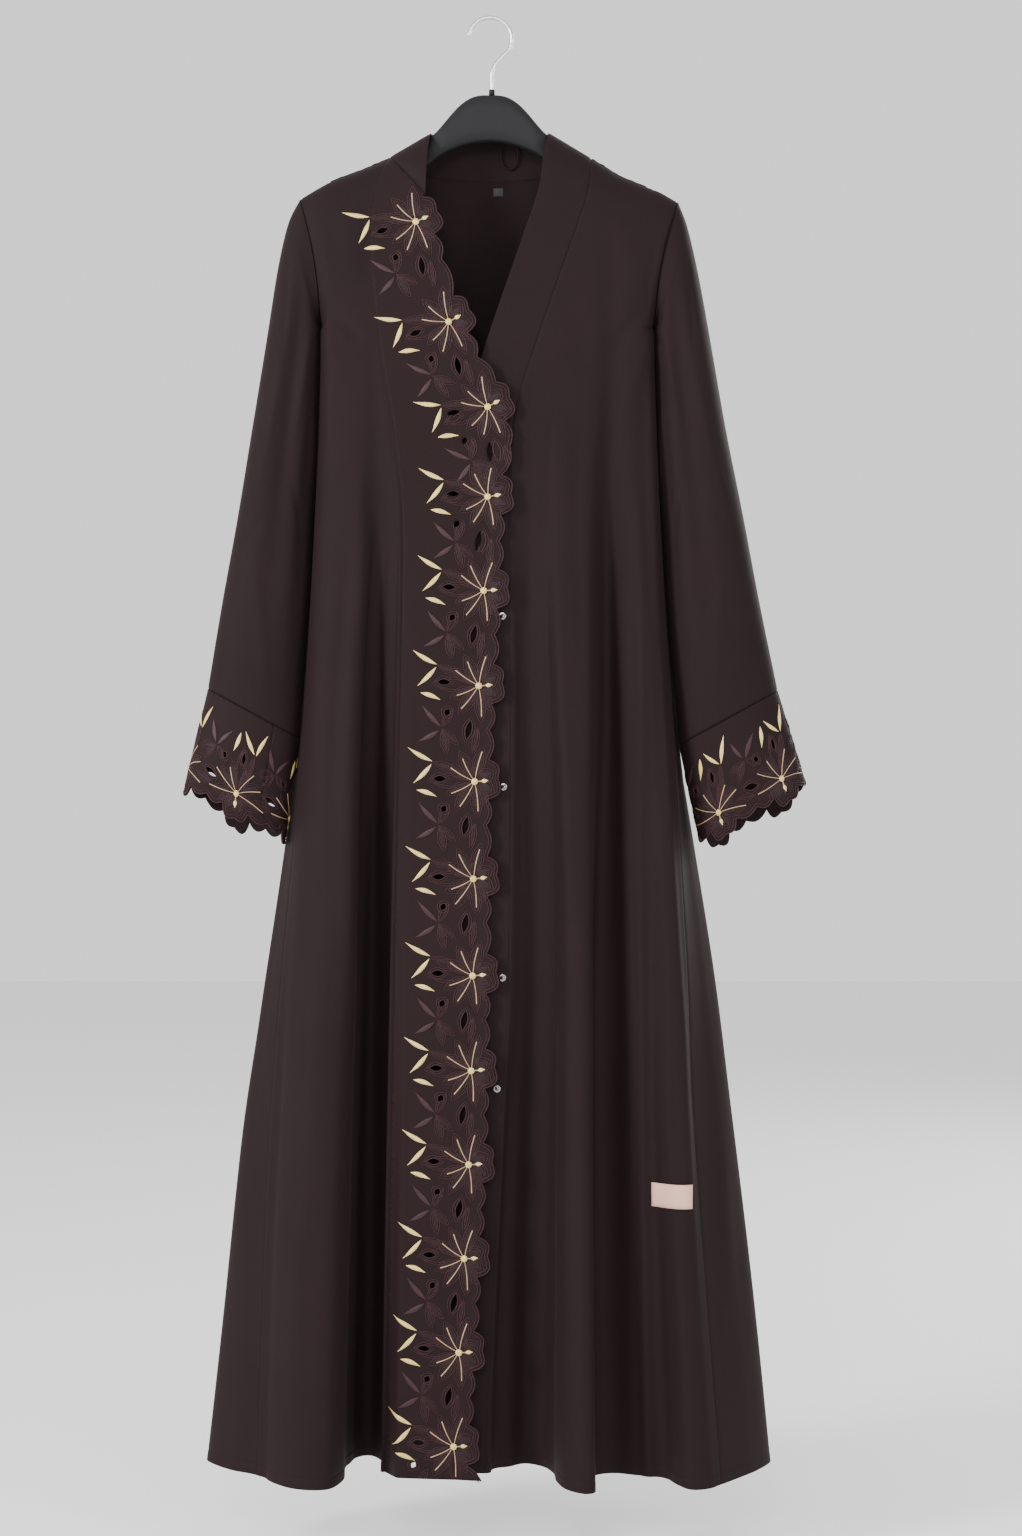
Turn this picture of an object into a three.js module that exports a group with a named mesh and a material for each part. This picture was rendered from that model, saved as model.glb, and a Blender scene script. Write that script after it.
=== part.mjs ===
// An open, front-lapped abaya of dark crepe on its moulded hanger, with a scalloped cutwork border down the
// front edge and round the cuffs. Millimetres, +Z up, the front faces -Y, and the wearer's right is at -X.
// The origin is the inner top of the hanger's hook, where a rail carries it.
import * as THREE from 'three';

// Driving sizes
const CLOTH = 1.5;                 // wall of the plain crepe
const BORDER_CLOTH = 1.8;          // wall of the embroidered border and cuffs
const SEAM = 0.3;                  // gap between two pieces at a seam
const SHOULDER_RIGHT_X = -198.7;   // shoulder end of the wearer's right
const SHOULDER_LEFT_X = 197;
const SHOULDER_RIGHT_Z = -188.8;
const SHOULDER_LEFT_Z = -192;
const UNDERARM_RIGHT_X = -176.5;
const UNDERARM_LEFT_X = 171;
const UNDERARM_Z = -325;
const ARMHOLE_HALF_DEPTH = 27;
const ARMHOLE_BOW = 5;             // how far the armhole seam bows in towards the chest
const NECK_POINT_X = 61.7;         // highest points of the neck, where it lies on the hanger
const NECK_POINT_Z = -118.7;
const BAND_SHOULDER_X = 105.6;     // where the seam of the neck band crosses the shoulder
const BAND_SHOULDER_Z = -144.9;
const BACK_NECK_Z = -163.7;        // band seam at the centre back
const INNER_CHEST_Z = -342;        // front edges at the level of the underarm
const HEM_Z = -1507;
const HEM_DIP = 0.11;              // a fold that stands forward hangs lower by this share of its depth
const FRONT_LAP = 6;               // left front behind the border at the chest
const TOP_DEPTH = 0.9;             // front and back stand this far from the middle plane at the shoulder seam
const ARMHOLE_STEPS = 8;
// How far down from the underarm to the hem each lower row of the body lies
const BODY_ROWS = [0, 0.065, 0.135, 0.21, 0.3, 0.4, 0.51, 0.63, 0.755, 0.88, 1];

const clamp01 = (value) => Math.min(1, Math.max(0, value));
const mix = (from, to, share) => from + (to - from) * share;

// Value of one column of a table at a place between its rows, on a smooth curve through them
function column(rows, by, name, at) {
  const rising = rows[0][by] < rows[rows.length - 1][by];
  const list = rising ? rows : [...rows].reverse();
  const last = list.length - 1;
  const place = Math.min(list[last][by], Math.max(list[0][by], at));
  let row = 0;
  while (row < last - 1 && place > list[row + 1][by]) row += 1;
  const slope = (a, b) => (list[b][name] - list[a][name]) / (list[b][by] - list[a][by]);
  const span = list[row + 1][by] - list[row][by];
  const share = (place - list[row][by]) / span;
  const start = slope(Math.max(0, row - 1), Math.min(last, row + 1)) * span;
  const end = slope(row, Math.min(last, row + 2)) * span;
  const cube = share ** 3;
  const square = share ** 2;
  return list[row][name] * (2 * cube - 3 * square + 1) + start * (cube - 2 * square + share)
    + list[row + 1][name] * (3 * square - 2 * cube) + end * (cube - square);
}

// Point between b and c on a curve through a, b, c, d, with no loop where they lie unevenly
function between(a, b, c, d, share) {
  const ab = Math.max(0.5, a.distanceTo(b));
  const bc = Math.max(0.5, b.distanceTo(c));
  const cd = Math.max(0.5, c.distanceTo(d));
  const slope = (from, middle, to, near, far) => middle.clone().sub(from).multiplyScalar(far / near)
    .add(to.clone().sub(middle).multiplyScalar(near / far)).divideScalar(near + far);
  const start = slope(a, b, c, ab, bc).multiplyScalar(bc);
  const end = slope(b, c, d, bc, cd).multiplyScalar(bc);
  const cube = share ** 3;
  const square = share ** 2;
  return b.clone().multiplyScalar(2 * cube - 3 * square + 1)
    .addScaledVector(start, cube - 2 * square + share)
    .addScaledVector(c, 3 * square - 2 * cube)
    .addScaledVector(end, cube - square);
}

// The top line of the garment, seen from the front: shoulders and neck
const SHOULDER_LINE = [
  { x: SHOULDER_RIGHT_X, z: SHOULDER_RIGHT_Z },
  { x: -171.5, z: -171 },
  { x: -126.6, z: -154.3 },
  { x: -BAND_SHOULDER_X, z: BAND_SHOULDER_Z },
  { x: -NECK_POINT_X, z: NECK_POINT_Z },
  { x: NECK_POINT_X, z: NECK_POINT_Z },
  { x: BAND_SHOULDER_X, z: BAND_SHOULDER_Z },
  { x: 136, z: -163.7 },
  { x: 180, z: -181.5 },
  { x: SHOULDER_LEFT_X, z: SHOULDER_LEFT_Z },
];

// Depth of the cloth from the middle plane, by the drop below the top line
const DRAPE = [
  { drop: 0, depth: TOP_DEPTH },
  { drop: 5, depth: 11 },
  { drop: 12, depth: 18 },
  { drop: 25, depth: 25 },
  { drop: 45, depth: 30 },
  { drop: 80, depth: 34 },
  { drop: 200, depth: 38 },
  { drop: 360, depth: 40 },
  { drop: 955, depth: 48 },
  { drop: 1400, depth: 60 },
];

function topLine(x) {
  const last = SHOULDER_LINE.length - 1;
  let row = 0;
  while (row < last - 1 && x > SHOULDER_LINE[row + 1].x) row += 1;
  const { x: fromX, z: fromZ } = SHOULDER_LINE[row];
  const { x: toX, z: toZ } = SHOULDER_LINE[row + 1];
  return mix(fromZ, toZ, clamp01((x - fromX) / (toX - fromX)));
}

const drape = (x, z) => column(DRAPE, 'drop', 'depth', topLine(x) - z);

// Depth of the cloth at a share of its half width: flat in the middle and round towards the sides. Close to a
// side it meets the edge's own depth; further in, the fullness of the armhole fades out slowly below it.
const ROUNDNESS = 2.6;
const SIDE_REACH = 12;             // the higher, the closer to the side the edge's own depth begins
const FULL_SIDE_Z = -257;
const FLAT_SIDE_Z = -640;

function roundedDepth(share, edgeDepth, fullDepth, z) {
  const half = Math.abs(share);
  const turn = Math.max(0, 1 - half ** ROUNDNESS) ** (1 / ROUNDNESS);
  const faded = ARMHOLE_HALF_DEPTH * THREE.MathUtils.smoothstep(z, FLAT_SIDE_Z, FULL_SIDE_Z);
  const sideDepth = z > FULL_SIDE_Z ? edgeDepth : mix(faded, edgeDepth, half ** SIDE_REACH);
  return mix(sideDepth, fullDepth, turn);
}

// Lines that run down the garment: the pressed line beside the border, the seam of the band on the left
// front, the free edge of that band under the border, and the two side-front seams
const PRESSED_LINE = [
  { z: BAND_SHOULDER_Z, x: -BAND_SHOULDER_X },
  { z: -185, x: -119 },
  { z: -237, x: -124 },
  { z: -330, x: -116 },
  { z: -424, x: -101 },
  { z: -506, x: -91.5 },
  { z: -600, x: -90.5 },
  { z: -1000, x: -99 },
  { z: -1512, x: -108.2 },
];
const BAND_SEAM = [
  { z: BAND_SHOULDER_Z, x: BAND_SHOULDER_X },
  { z: -189, x: 101 },
  { z: -251, x: 79.6 },
  { z: -350, x: 45.5 },
  { z: -423, x: 24 },
  { z: -506, x: 19 },
  { z: -712, x: 21.7 },
  { z: -1000, x: 19.6 },
  { z: -1113, x: 14.4 },
  { z: -1512, x: -5.1 },
];
const BAND_EDGE = [
  { z: NECK_POINT_Z, x: NECK_POINT_X },
  { z: -142, x: 56.2 },
  { z: -181, x: 50.8 },
  { z: -234, x: 33.1 },
  { z: -333, x: -1 },
  { z: -390, x: -19 },
  { z: -440, x: -27 },
  { z: -520, x: -30 },
  { z: -1000, x: -29 },
  { z: -1512, x: -52 },
];
const SIDE_SEAM_RIGHT = [
  { z: UNDERARM_Z, x: UNDERARM_RIGHT_X },
  { z: -520, x: -183 },
  { z: -700, x: -193 },
  { z: -859, x: -204 },
  { z: -1042, x: -220 },
  { z: -1191, x: -230 },
  { z: -1512, x: -240.5 },
];
const SIDE_SEAM_LEFT = [
  { z: UNDERARM_Z, x: UNDERARM_LEFT_X },
  { z: -520, x: 178 },
  { z: -700, x: 187 },
  { z: -859, x: 197 },
  { z: -1000, x: 205 },
  { z: -1140, x: 210 },
  { z: -1512, x: 236.6 },
];

// Fold lines of the three body pieces. chest is the share of the piece's width at the underarm, hemX and hemY
// the place at the hem, and start how far down from the underarm the fold begins, as a share.
const FRONT_RIGHT_FOLDS = [
  { line: 'pressed line', chest: 0, hemX: -108.2, hemY: -36, start: 0.1 },
  { line: 'crown of the pressed fold', chest: 0.03, hemX: -111.8, hemY: -36, start: 0.1 },
  { line: 'foot of the pressed fold', chest: 0.06, hemX: -114.8, hemY: -9, start: 0.1 },
  { line: 'deep hollow', chest: 0.17, hemX: -133.6, hemY: -6, start: 0.1 },
  { line: 'hollow under the lobe', chest: 0.28, hemX: -145.5, hemY: -14, start: 0.14 },
  { line: 'inner edge of the lobe', chest: 0.34, hemX: -149.8, hemY: -60, start: 0.14 },
  { line: 'lobe, inner', chest: 0.45, hemX: -164.6, hemY: -86, start: 0.1 },
  { line: 'lobe, outer', chest: 0.62, hemX: -194, hemY: -86, start: 0.06 },
  { line: 'lobe, falling away', chest: 0.85, hemX: -226.3, hemY: -62, start: 0.02 },
  { line: 'side-front seam', chest: 1, hemX: -240.5, hemY: -45, start: 0 },
];
const BACK_FOLDS = [
  { line: 'side-front seam', chest: 0, hemX: -240.5, hemY: -45, start: 0 },
  { line: 'right side, front', chest: 0.012, hemX: -269.3, hemY: -29, start: 0 },
  { line: 'right side', chest: 0.03, hemX: -296.5, hemY: 2, start: 0 },
  { line: 'right side, back', chest: 0.055, hemX: -284, hemY: 32, start: 0 },
  { line: 'first slope', chest: 0.09, hemX: -258, hemY: 56, start: 0.02 },
  { line: 'first ridge', chest: 0.15, hemX: -222, hemY: 76, start: 0.08 },
  { line: 'first slope in', chest: 0.21, hemX: -188, hemY: 50, start: 0.12 },
  { line: 'first hollow', chest: 0.27, hemX: -160, hemY: 30, start: 0.16 },
  { line: 'second slope', chest: 0.33, hemX: -128, hemY: 57, start: 0.14 },
  { line: 'second ridge', chest: 0.39, hemX: -94, hemY: 82, start: 0.05 },
  { line: 'second slope in', chest: 0.45, hemX: -58, hemY: 64, start: 0.1 },
  { line: 'middle hollow', chest: 0.5, hemX: -26, hemY: 36, start: 0.2 },
  { line: 'middle flat', chest: 0.555, hemX: 10, hemY: 31, start: 0.24 },
  { line: 'third slope', chest: 0.61, hemX: 46, hemY: 60, start: 0.16 },
  { line: 'third ridge', chest: 0.67, hemX: 80, hemY: 80, start: 0.08 },
  { line: 'third slope in', chest: 0.73, hemX: 112, hemY: 52, start: 0.12 },
  { line: 'last hollow', chest: 0.79, hemX: 142, hemY: 32, start: 0.18 },
  { line: 'fourth slope', chest: 0.85, hemX: 176, hemY: 60, start: 0.1 },
  { line: 'fourth ridge', chest: 0.9, hemX: 212, hemY: 78, start: 0.05 },
  { line: 'fourth slope in', chest: 0.94, hemX: 250, hemY: 60, start: 0.02 },
  { line: 'left side, back', chest: 0.965, hemX: 281, hemY: 30, start: 0 },
  { line: 'left side', chest: 0.98, hemX: 293.5, hemY: -4, start: 0 },
  { line: 'left side, front', chest: 0.99, hemX: 276, hemY: -32, start: 0 },
  { line: 'left side, inner', chest: 0.996, hemX: 257, hemY: -52, start: 0 },
  { line: 'side-front seam', chest: 1, hemX: 236.6, hemY: -72, start: 0 },
];
const FRONT_LEFT_FOLDS = [
  { line: 'side-front seam', chest: 1, hemX: 236.6, hemY: -72, start: 0 },
  { line: 'outer lobe, outer', chest: 0.95, hemX: 224.7, hemY: -83, start: 0.04 },
  { line: 'outer lobe', chest: 0.9, hemX: 206.2, hemY: -87, start: 0.08 },
  { line: 'edge of the outer lobe', chest: 0.85, hemX: 191, hemY: -71, start: 0.1 },
  { line: 'slope into the hollow', chest: 0.8, hemX: 182.7, hemY: -56, start: 0.1 },
  { line: 'deep hollow, outer', chest: 0.7, hemX: 159.5, hemY: -46, start: 0.08 },
  { line: 'deep hollow', chest: 0.6, hemX: 135.8, hemY: -49, start: 0.06 },
  { line: 'slope out of the hollow', chest: 0.52, hemX: 123.7, hemY: -67, start: 0.08 },
  { line: 'inner lobe, outer', chest: 0.46, hemX: 116.7, hemY: -90, start: 0.1 },
  { line: 'inner lobe', chest: 0.37, hemX: 100.1, hemY: -99, start: 0.06 },
  { line: 'inner lobe, inner', chest: 0.3, hemX: 80.2, hemY: -88, start: 0.06 },
  { line: 'edge of the inner lobe', chest: 0.265, hemX: 69, hemY: -64, start: 0.1 },
  { line: 'foot of the inner lobe', chest: 0.235, hemX: 65.5, hemY: -38, start: 0.12 },
  { line: 'hollow beside the lap, outer', chest: 0.19, hemX: 55, hemY: -20, start: 0.1 },
  { line: 'hollow beside the lap', chest: 0.13, hemX: 36.5, hemY: -11, start: 0.06 },
  { line: 'slope behind the lap', chest: 0.06, hemX: 15.5, hemY: -25, start: 0.04 },
  { line: 'beside the band', chest: 0.02, hemX: -1.6, hemY: -39.6, start: 0 },
  { line: 'band seam', chest: 0, hemX: -5.1, hemY: -40, start: 0 },
];

// Each body piece: its folds in order round the body, with its inner edge and its side.
// side is -1 for the front and 1 for the back.
const BODY = {
  front_right: {
    folds: FRONT_RIGHT_FOLDS,
    side: -1,
    inner: PRESSED_LINE,
    outer: SIDE_SEAM_RIGHT,
    armhole: { x: SHOULDER_RIGHT_X, z: SHOULDER_RIGHT_Z, underX: UNDERARM_RIGHT_X, bow: ARMHOLE_BOW },
    lap: 0,
  },
  front_left: {
    folds: FRONT_LEFT_FOLDS,
    side: -1,
    inner: BAND_SEAM,
    outer: SIDE_SEAM_LEFT,
    armhole: { x: SHOULDER_LEFT_X, z: SHOULDER_LEFT_Z, underX: UNDERARM_LEFT_X, bow: -ARMHOLE_BOW },
    lap: FRONT_LAP,
  },
  back: {
    folds: BACK_FOLDS,
    side: 1,
    inner: SIDE_SEAM_RIGHT,
    outer: SIDE_SEAM_LEFT,
    armhole: { x: SHOULDER_LEFT_X, z: SHOULDER_LEFT_Z, underX: UNDERARM_LEFT_X, bow: -ARMHOLE_BOW },
    lap: 0,
  },
};
const RIGHT_ARMHOLE = BODY.front_right.armhole;

// Point of an armhole at an angle from the shoulder (0) to the underarm (half a turn)
function armholePoint(armhole, angle, side) {
  const down = (1 - Math.cos(angle)) / 2;
  const x = mix(armhole.x, armhole.underX, down) + armhole.bow * Math.sin(Math.PI * down);
  const y = side * mix(TOP_DEPTH, ARMHOLE_HALF_DEPTH, Math.sin(angle));
  return new THREE.Vector3(x, y, mix(armhole.z, UNDERARM_Z, down));
}

// Band seam at the back neck: it sags a little towards the centre back
function backTop(x) {
  if (Math.abs(x) >= BAND_SHOULDER_X) return topLine(x);
  return mix(BAND_SHOULDER_Z, BACK_NECK_Z, (1 - (x / BAND_SHOULDER_X) ** 2) ** 0.75);
}

// Upper part, from the shoulder (angle 0) to the underarm (half a turn)
function upperPoint(piece, fold, angle) {
  const down = (1 - Math.cos(angle)) / 2;
  const arm = armholePoint(piece.armhole, angle, piece.side);
  if (piece.side > 0) {
    const other = armholePoint(RIGHT_ARMHOLE, angle, piece.side);
    const topX = mix(RIGHT_ARMHOLE.x, piece.armhole.x, fold.chest);
    const x = mix(other.x, arm.x, fold.chest);
    const z = mix(backTop(topX), UNDERARM_Z, down);
    return new THREE.Vector3(x, roundedDepth(2 * fold.chest - 1, arm.y, drape(x, z), z), z);
  }
  const innerZ = mix(BAND_SHOULDER_Z, INNER_CHEST_Z, down);
  const innerX = column(piece.inner, 'z', 'x', innerZ);
  const topX = mix(piece.inner[0].x, piece.armhole.x, fold.chest);
  const crown = topLine(topX) - mix(BAND_SHOULDER_Z, piece.armhole.z, fold.chest);
  const x = mix(innerX, arm.x, fold.chest);
  const z = mix(innerZ, arm.z, fold.chest) + crown * (1 - down);
  const lap = piece.lap * down * (1 - fold.chest);
  return new THREE.Vector3(x, -roundedDepth(fold.chest, -arm.y, drape(x, z) - lap, z), z);
}

// Below the cuff the wearer's left side stands out a little more than its hem asks for
const SIDE_SWELL = 0.2;
const SWELL_START = 0.4;

// Lower part, from the underarm (0) to the hem (1)
function lowerPoint(piece, fold, down) {
  const under = upperPoint(piece, fold, Math.PI);
  const z = mix(under.z, HEM_Z - HEM_DIP * Math.abs(fold.hemY), down);
  const innerHem = piece.folds.find((row) => row.chest === 0).hemX;
  const outerHem = piece.folds.find((row) => row.chest === 1).hemX;
  const hemShare = (fold.hemX - innerHem) / (outerHem - innerHem);
  const swollen = clamp01((down - SWELL_START) / (1 - SWELL_START));
  const swell = hemShare > 1 ? SIDE_SWELL * Math.sin(Math.PI * swollen) : 0;
  const share = mix(fold.chest, hemShare, down ** 1.2 + swell);
  const x = mix(column(piece.inner, 'z', 'x', z), column(piece.outer, 'z', 'x', z), share);
  const half = piece.side > 0 ? 2 * fold.chest - 1 : fold.chest;
  const edgeDepth = Math.abs(under.y) * (1 - down) * half ** SIDE_REACH;
  const flatY = piece.side * roundedDepth(half, edgeDepth, drape(x, z), z) + piece.lap * (1 - fold.chest);
  const grown = clamp01((down - fold.start) / (1 - fold.start)) ** 1.15;
  return new THREE.Vector3(x, mix(flatY, fold.hemY, grown), z);
}

// Point of a body piece: across counts its fold lines, row counts its rows from the shoulder to the hem
function foldPoint(name, index, row) {
  const piece = BODY[name];
  const fold = piece.folds[index];
  if (row <= ARMHOLE_STEPS) return upperPoint(piece, fold, (row / ARMHOLE_STEPS) * Math.PI);
  const step = Math.min(row - ARMHOLE_STEPS, BODY_ROWS.length - 1.001);
  const whole = Math.floor(step);
  const down = mix(BODY_ROWS[whole], BODY_ROWS[whole + 1], row - ARMHOLE_STEPS - whole);
  return lowerPoint(piece, fold, down);
}

const NEIGHBOURS = {
  front_right: { after: 'back' },
  back: { before: 'front_right', after: 'front_left' },
  front_left: { before: 'back' },
};

function bodyPoint(name, across, row) {
  const last = BODY[name].folds.length - 1;
  const index = Math.min(last - 1, Math.max(0, Math.floor(across)));
  const from = foldPoint(name, index, row);
  const to = foldPoint(name, index + 1, row);
  const joined = row >= ARMHOLE_STEPS;
  const { before, after } = NEIGHBOURS[name];
  let previous = from.clone().multiplyScalar(2).sub(to);
  let next = to.clone().multiplyScalar(2).sub(from);
  if (index > 0) previous = foldPoint(name, index - 1, row);
  else if (before && joined) previous = foldPoint(before, BODY[before].folds.length - 2, row);
  if (index < last - 1) next = foldPoint(name, index + 2, row);
  else if (after && joined) next = foldPoint(after, 1, row);
  return between(previous, from, to, next, across - index);
}

// Values from start to end in equal steps
function steps(start, end, count) {
  return Array.from({ length: count + 1 }, (_, index) => mix(start, end, index / count));
}

// A closed wall of cloth: outer corners with their normals, and faces that look outwards
function closedWall(corners, normals, faces, cloth) {
  const count = corners.length;
  const inner = corners.map((corner, index) => corner.clone().addScaledVector(normals[index], -cloth));
  const position = [...corners, ...inner].flatMap((corner) => [corner.x, corner.y, corner.z]);
  const index = [];
  const edges = new Set(faces.flatMap(([a, b, c]) => [`${a} ${b}`, `${b} ${c}`, `${c} ${a}`]));
  for (const [a, b, c] of faces) {
    index.push(a, b, c, a + count, c + count, b + count);
    for (const [from, to] of [[a, b], [b, c], [c, a]]) {
      if (!edges.has(`${to} ${from}`)) index.push(to, from, from + count, to, from + count, to + count);
    }
  }
  const geometry = new THREE.BufferGeometry();
  geometry.setAttribute('position', new THREE.Float32BufferAttribute(position, 3));
  geometry.setIndex(index);
  geometry.computeVertexNormals();
  return geometry;
}

// Wall over a grid of places. point(across, down) gives its outer face; outward is 1 where across turns
// to the left of down, seen from outside, and -1 otherwise. A round wall closes on itself.
// Where plane is given, the first row takes its thickness within that plane.
function gridWall({
  across, down, point, cloth = CLOTH, outward = 1, round = false, reach = 0.02, plane = null,
}) {
  const corners = [];
  const normals = [];
  const lastAcross = across.length - 1;
  const lastDown = down.length - 1;
  const low = { across: across[0], down: down[0] };
  const high = { across: across[lastAcross], down: down[lastDown] };
  const columns = round ? lastAcross : across.length;
  for (let j = 0; j < down.length; j += 1) {
    for (let i = 0; i < columns; i += 1) {
      const fromAcross = round ? across[i] - reach : Math.max(low.across, across[i] - reach);
      const toAcross = round ? across[i] + reach : Math.min(high.across, across[i] + reach);
      const along = point(toAcross, down[j]).sub(point(fromAcross, down[j])).normalize();
      const below = point(across[i], Math.min(high.down, down[j] + reach))
        .sub(point(across[i], Math.max(low.down, down[j] - reach))).normalize();
      const corner = point(across[i], down[j]);
      if (!round && i === 0) corner.addScaledVector(along, SEAM / 2);
      if (!round && i === lastAcross) corner.addScaledVector(along, -SEAM / 2);
      if (j === 0) corner.addScaledVector(below, SEAM / 2);
      if (j === lastDown) corner.addScaledVector(below, -SEAM / 2);
      corners.push(corner);
      const normal = along.cross(below).normalize().multiplyScalar(outward);
      if (plane && j === 0) normal.projectOnPlane(plane).normalize();
      normals.push(normal);
    }
  }
  const faces = [];
  const at = (i, j) => j * columns + (i % columns);
  for (let j = 0; j < lastDown; j += 1) {
    for (let i = 0; i < lastAcross; i += 1) {
      const [a, b, c, d] = [at(i, j), at(i + 1, j), at(i + 1, j + 1), at(i, j + 1)];
      if (outward > 0) faces.push([a, b, c], [a, c, d]);
      else faces.push([a, c, b], [a, d, c]);
    }
  }
  return closedWall(corners, normals, faces, cloth);
}

// Body pieces: fold lines far apart at the hem get one more column between them
const ALL_ROWS = steps(0, ARMHOLE_STEPS + BODY_ROWS.length - 1, ARMHOLE_STEPS + BODY_ROWS.length - 1);

function foldColumns(name, widest) {
  const { folds } = BODY[name];
  const columns = [0];
  for (let index = 1; index < folds.length; index += 1) {
    const from = folds[index - 1];
    const to = folds[index];
    if (Math.hypot(to.hemX - from.hemX, to.hemY - from.hemY) > widest) columns.push(index - 0.5);
    columns.push(index);
  }
  return columns;
}

const FRONT_WIDEST = 24;
const BACK_WIDEST = 37;
const RIGHT_COLUMNS = foldColumns('front_right', FRONT_WIDEST);
const LEFT_COLUMNS = foldColumns('front_left', FRONT_WIDEST);
const BACK_COLUMNS = foldColumns('back', BACK_WIDEST);

function bodyWall(name, columns) {
  return gridWall({ across: columns, down: ALL_ROWS, point: (across, row) => bodyPoint(name, across, row) });
}

// Neck band: a strip from its free edge to its seam. Its rows start at the right front, where it meets the
// border, go round the back neck and run down the left front.
const BAND_LIFT = [
  { z: BAND_SHOULDER_Z, lift: BAND_SHOULDER_Z * -1 + NECK_POINT_Z },
  { z: -189, lift: 24 },
  { z: -251, lift: 21 },
  { z: -350, lift: 17 },
  { z: -423, lift: 8 },
  { z: -506, lift: 0 },
  { z: -1512, lift: 0 },
];
const BACK_EDGE_DEPTH = 27;
const BACK_EDGE_SAG = 1;
const BAND_END = { x: -66.4, z: -189 };        // corner where band and border meet on the neck edge
const LEFT_SEAM = BODY.front_left.folds.length - 1;

function backNeckEdge(x) {
  const arch = Math.max(0, 1 - (x / NECK_POINT_X) ** 2);
  const y = TOP_DEPTH + BACK_EDGE_DEPTH * Math.sqrt(arch);
  return new THREE.Vector3(x, y, NECK_POINT_Z - BACK_EDGE_SAG * arch);
}

// behind is how far a front row lies behind the drape; rows of the back neck have none
function leftBandRow(row) {
  const seam = bodyPoint('front_left', LEFT_SEAM, row);
  const edgeZ = seam.z + column(BAND_LIFT, 'z', 'lift', seam.z);
  const edgeX = column(BAND_EDGE, 'z', 'x', edgeZ);
  return { seam, edge: new THREE.Vector3(edgeX, 0, edgeZ), behind: seam.y + drape(seam.x, seam.z) };
}

const rightEnd = bodyPoint('front_right', 0, 0).add(new THREE.Vector3(2 * SEAM, 0, SEAM));
const RIGHT_BAND_EDGES = [
  { x: BAND_END.x, z: BAND_END.z, seamX: 0 },
  { x: -65.6, z: -160, seamX: 0.3 },
  { x: -64, z: -137, seamX: 0.6 },
  { x: -62.7, z: -124.5, seamX: 0.9 },
  { x: -61.9, z: -119.2, seamX: 1.2 },
];
const BAND_ROWS = [
  ...RIGHT_BAND_EDGES.map(({ x, z, seamX }) => ({
    seam: rightEnd.clone().add(new THREE.Vector3(seamX, 0, seamX)),
    edge: new THREE.Vector3(x, 0, z),
    behind: 0,
  })),
  ...BACK_COLUMNS.map((across) => bodyPoint('back', across, 0))
    .filter((seam) => Math.abs(seam.x) < BAND_SHOULDER_X - 1)
    .map((seam) => ({ seam, edge: backNeckEdge((seam.x * NECK_POINT_X) / BAND_SHOULDER_X) })),
  ...ALL_ROWS.map(leftBandRow),
];

function bandPoint(row, across) {
  const index = Math.min(BAND_ROWS.length - 2, Math.max(0, Math.floor(row)));
  const from = BAND_ROWS[index];
  const to = BAND_ROWS[index + 1];
  const along = (end) => {
    const place = end.edge.clone().lerp(end.seam, across);
    if (end.behind !== undefined) place.y = end.behind - drape(place.x, place.z);
    return place;
  };
  return along(from).lerp(along(to), row - index);
}

const neckBand = gridWall({
  across: [0, 0.5, 1],
  down: BAND_ROWS.map((_, index) => index),
  point: (across, row) => bandPoint(row, across),
  outward: -1,
  reach: 0.25,
});

// Cutwork: cells of flat outline with holes, laid on a curved surface. Each cell is cut into triangles in its
// own plane, and edges whose length is over longest are halved so that the wall follows the bend.
function cutworkWall({ cells, strips = [], lift, length, longest, outward, cloth = BORDER_CLOTH }) {
  const corners = [];
  const known = new Map();
  const cornerOf = (place) => {
    const key = `${place.x.toFixed(2)} ${place.y.toFixed(2)}`;
    if (!known.has(key)) {
      known.set(key, corners.length);
      corners.push(place);
    }
    return known.get(key);
  };
  let faces = strips.map((strip) => strip.map(cornerOf));
  for (const { outline, holes } of cells) {
    const placed = [outline, ...holes].flat();
    const cut = THREE.ShapeUtils.triangulateShape(outline, holes);
    faces.push(...cut.map((face) => face.map((index) => cornerOf(placed[index]))));
  }
  faces = faces.filter((face) => new Set(face).size === 3).map(([a, b, c]) => {
    const turn = (corners[b].x - corners[a].x) * (corners[c].y - corners[a].y)
      - (corners[b].y - corners[a].y) * (corners[c].x - corners[a].x);
    return turn > 0 ? [a, b, c] : [a, c, b];
  });
  for (let again = true; again;) {
    again = false;
    const middle = (a, b) => {
      if (length(corners[a], corners[b]) <= longest) return null;
      again = true;
      return cornerOf(corners[a].clone().add(corners[b]).divideScalar(2));
    };
    faces = faces.flatMap(([a, b, c]) => {
      const halves = [middle(a, b), middle(b, c), middle(c, a)];
      const ring = [a, halves[0], b, halves[1], c, halves[2]].filter((corner) => corner !== null);
      if (ring.length === 3) return [ring];
      if (ring.length === 6) {
        const [ab, bc, ca] = halves;
        return [[a, ab, ca], [ab, b, bc], [ca, bc, c], [ab, bc, ca]];
      }
      const first = ring.findIndex((corner) => halves.includes(corner));
      const turned = [...ring.slice(first), ...ring.slice(0, first)];
      return turned.slice(2).map((corner, index) => [turned[0], turned[index + 1], corner]);
    });
  }
  const reach = 0.3;
  const slope = (x, y) => lift(x + reach, y).sub(lift(x - reach, y))
    .cross(lift(x, y + reach).sub(lift(x, y - reach))).normalize().multiplyScalar(outward);
  return closedWall(
    corners.map(({ x, y }) => lift(x, y)),
    corners.map(({ x, y }) => slope(x, y)),
    outward > 0 ? faces : faces.map(([a, b, c]) => [a, c, b]),
    cloth,
  );
}

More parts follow.
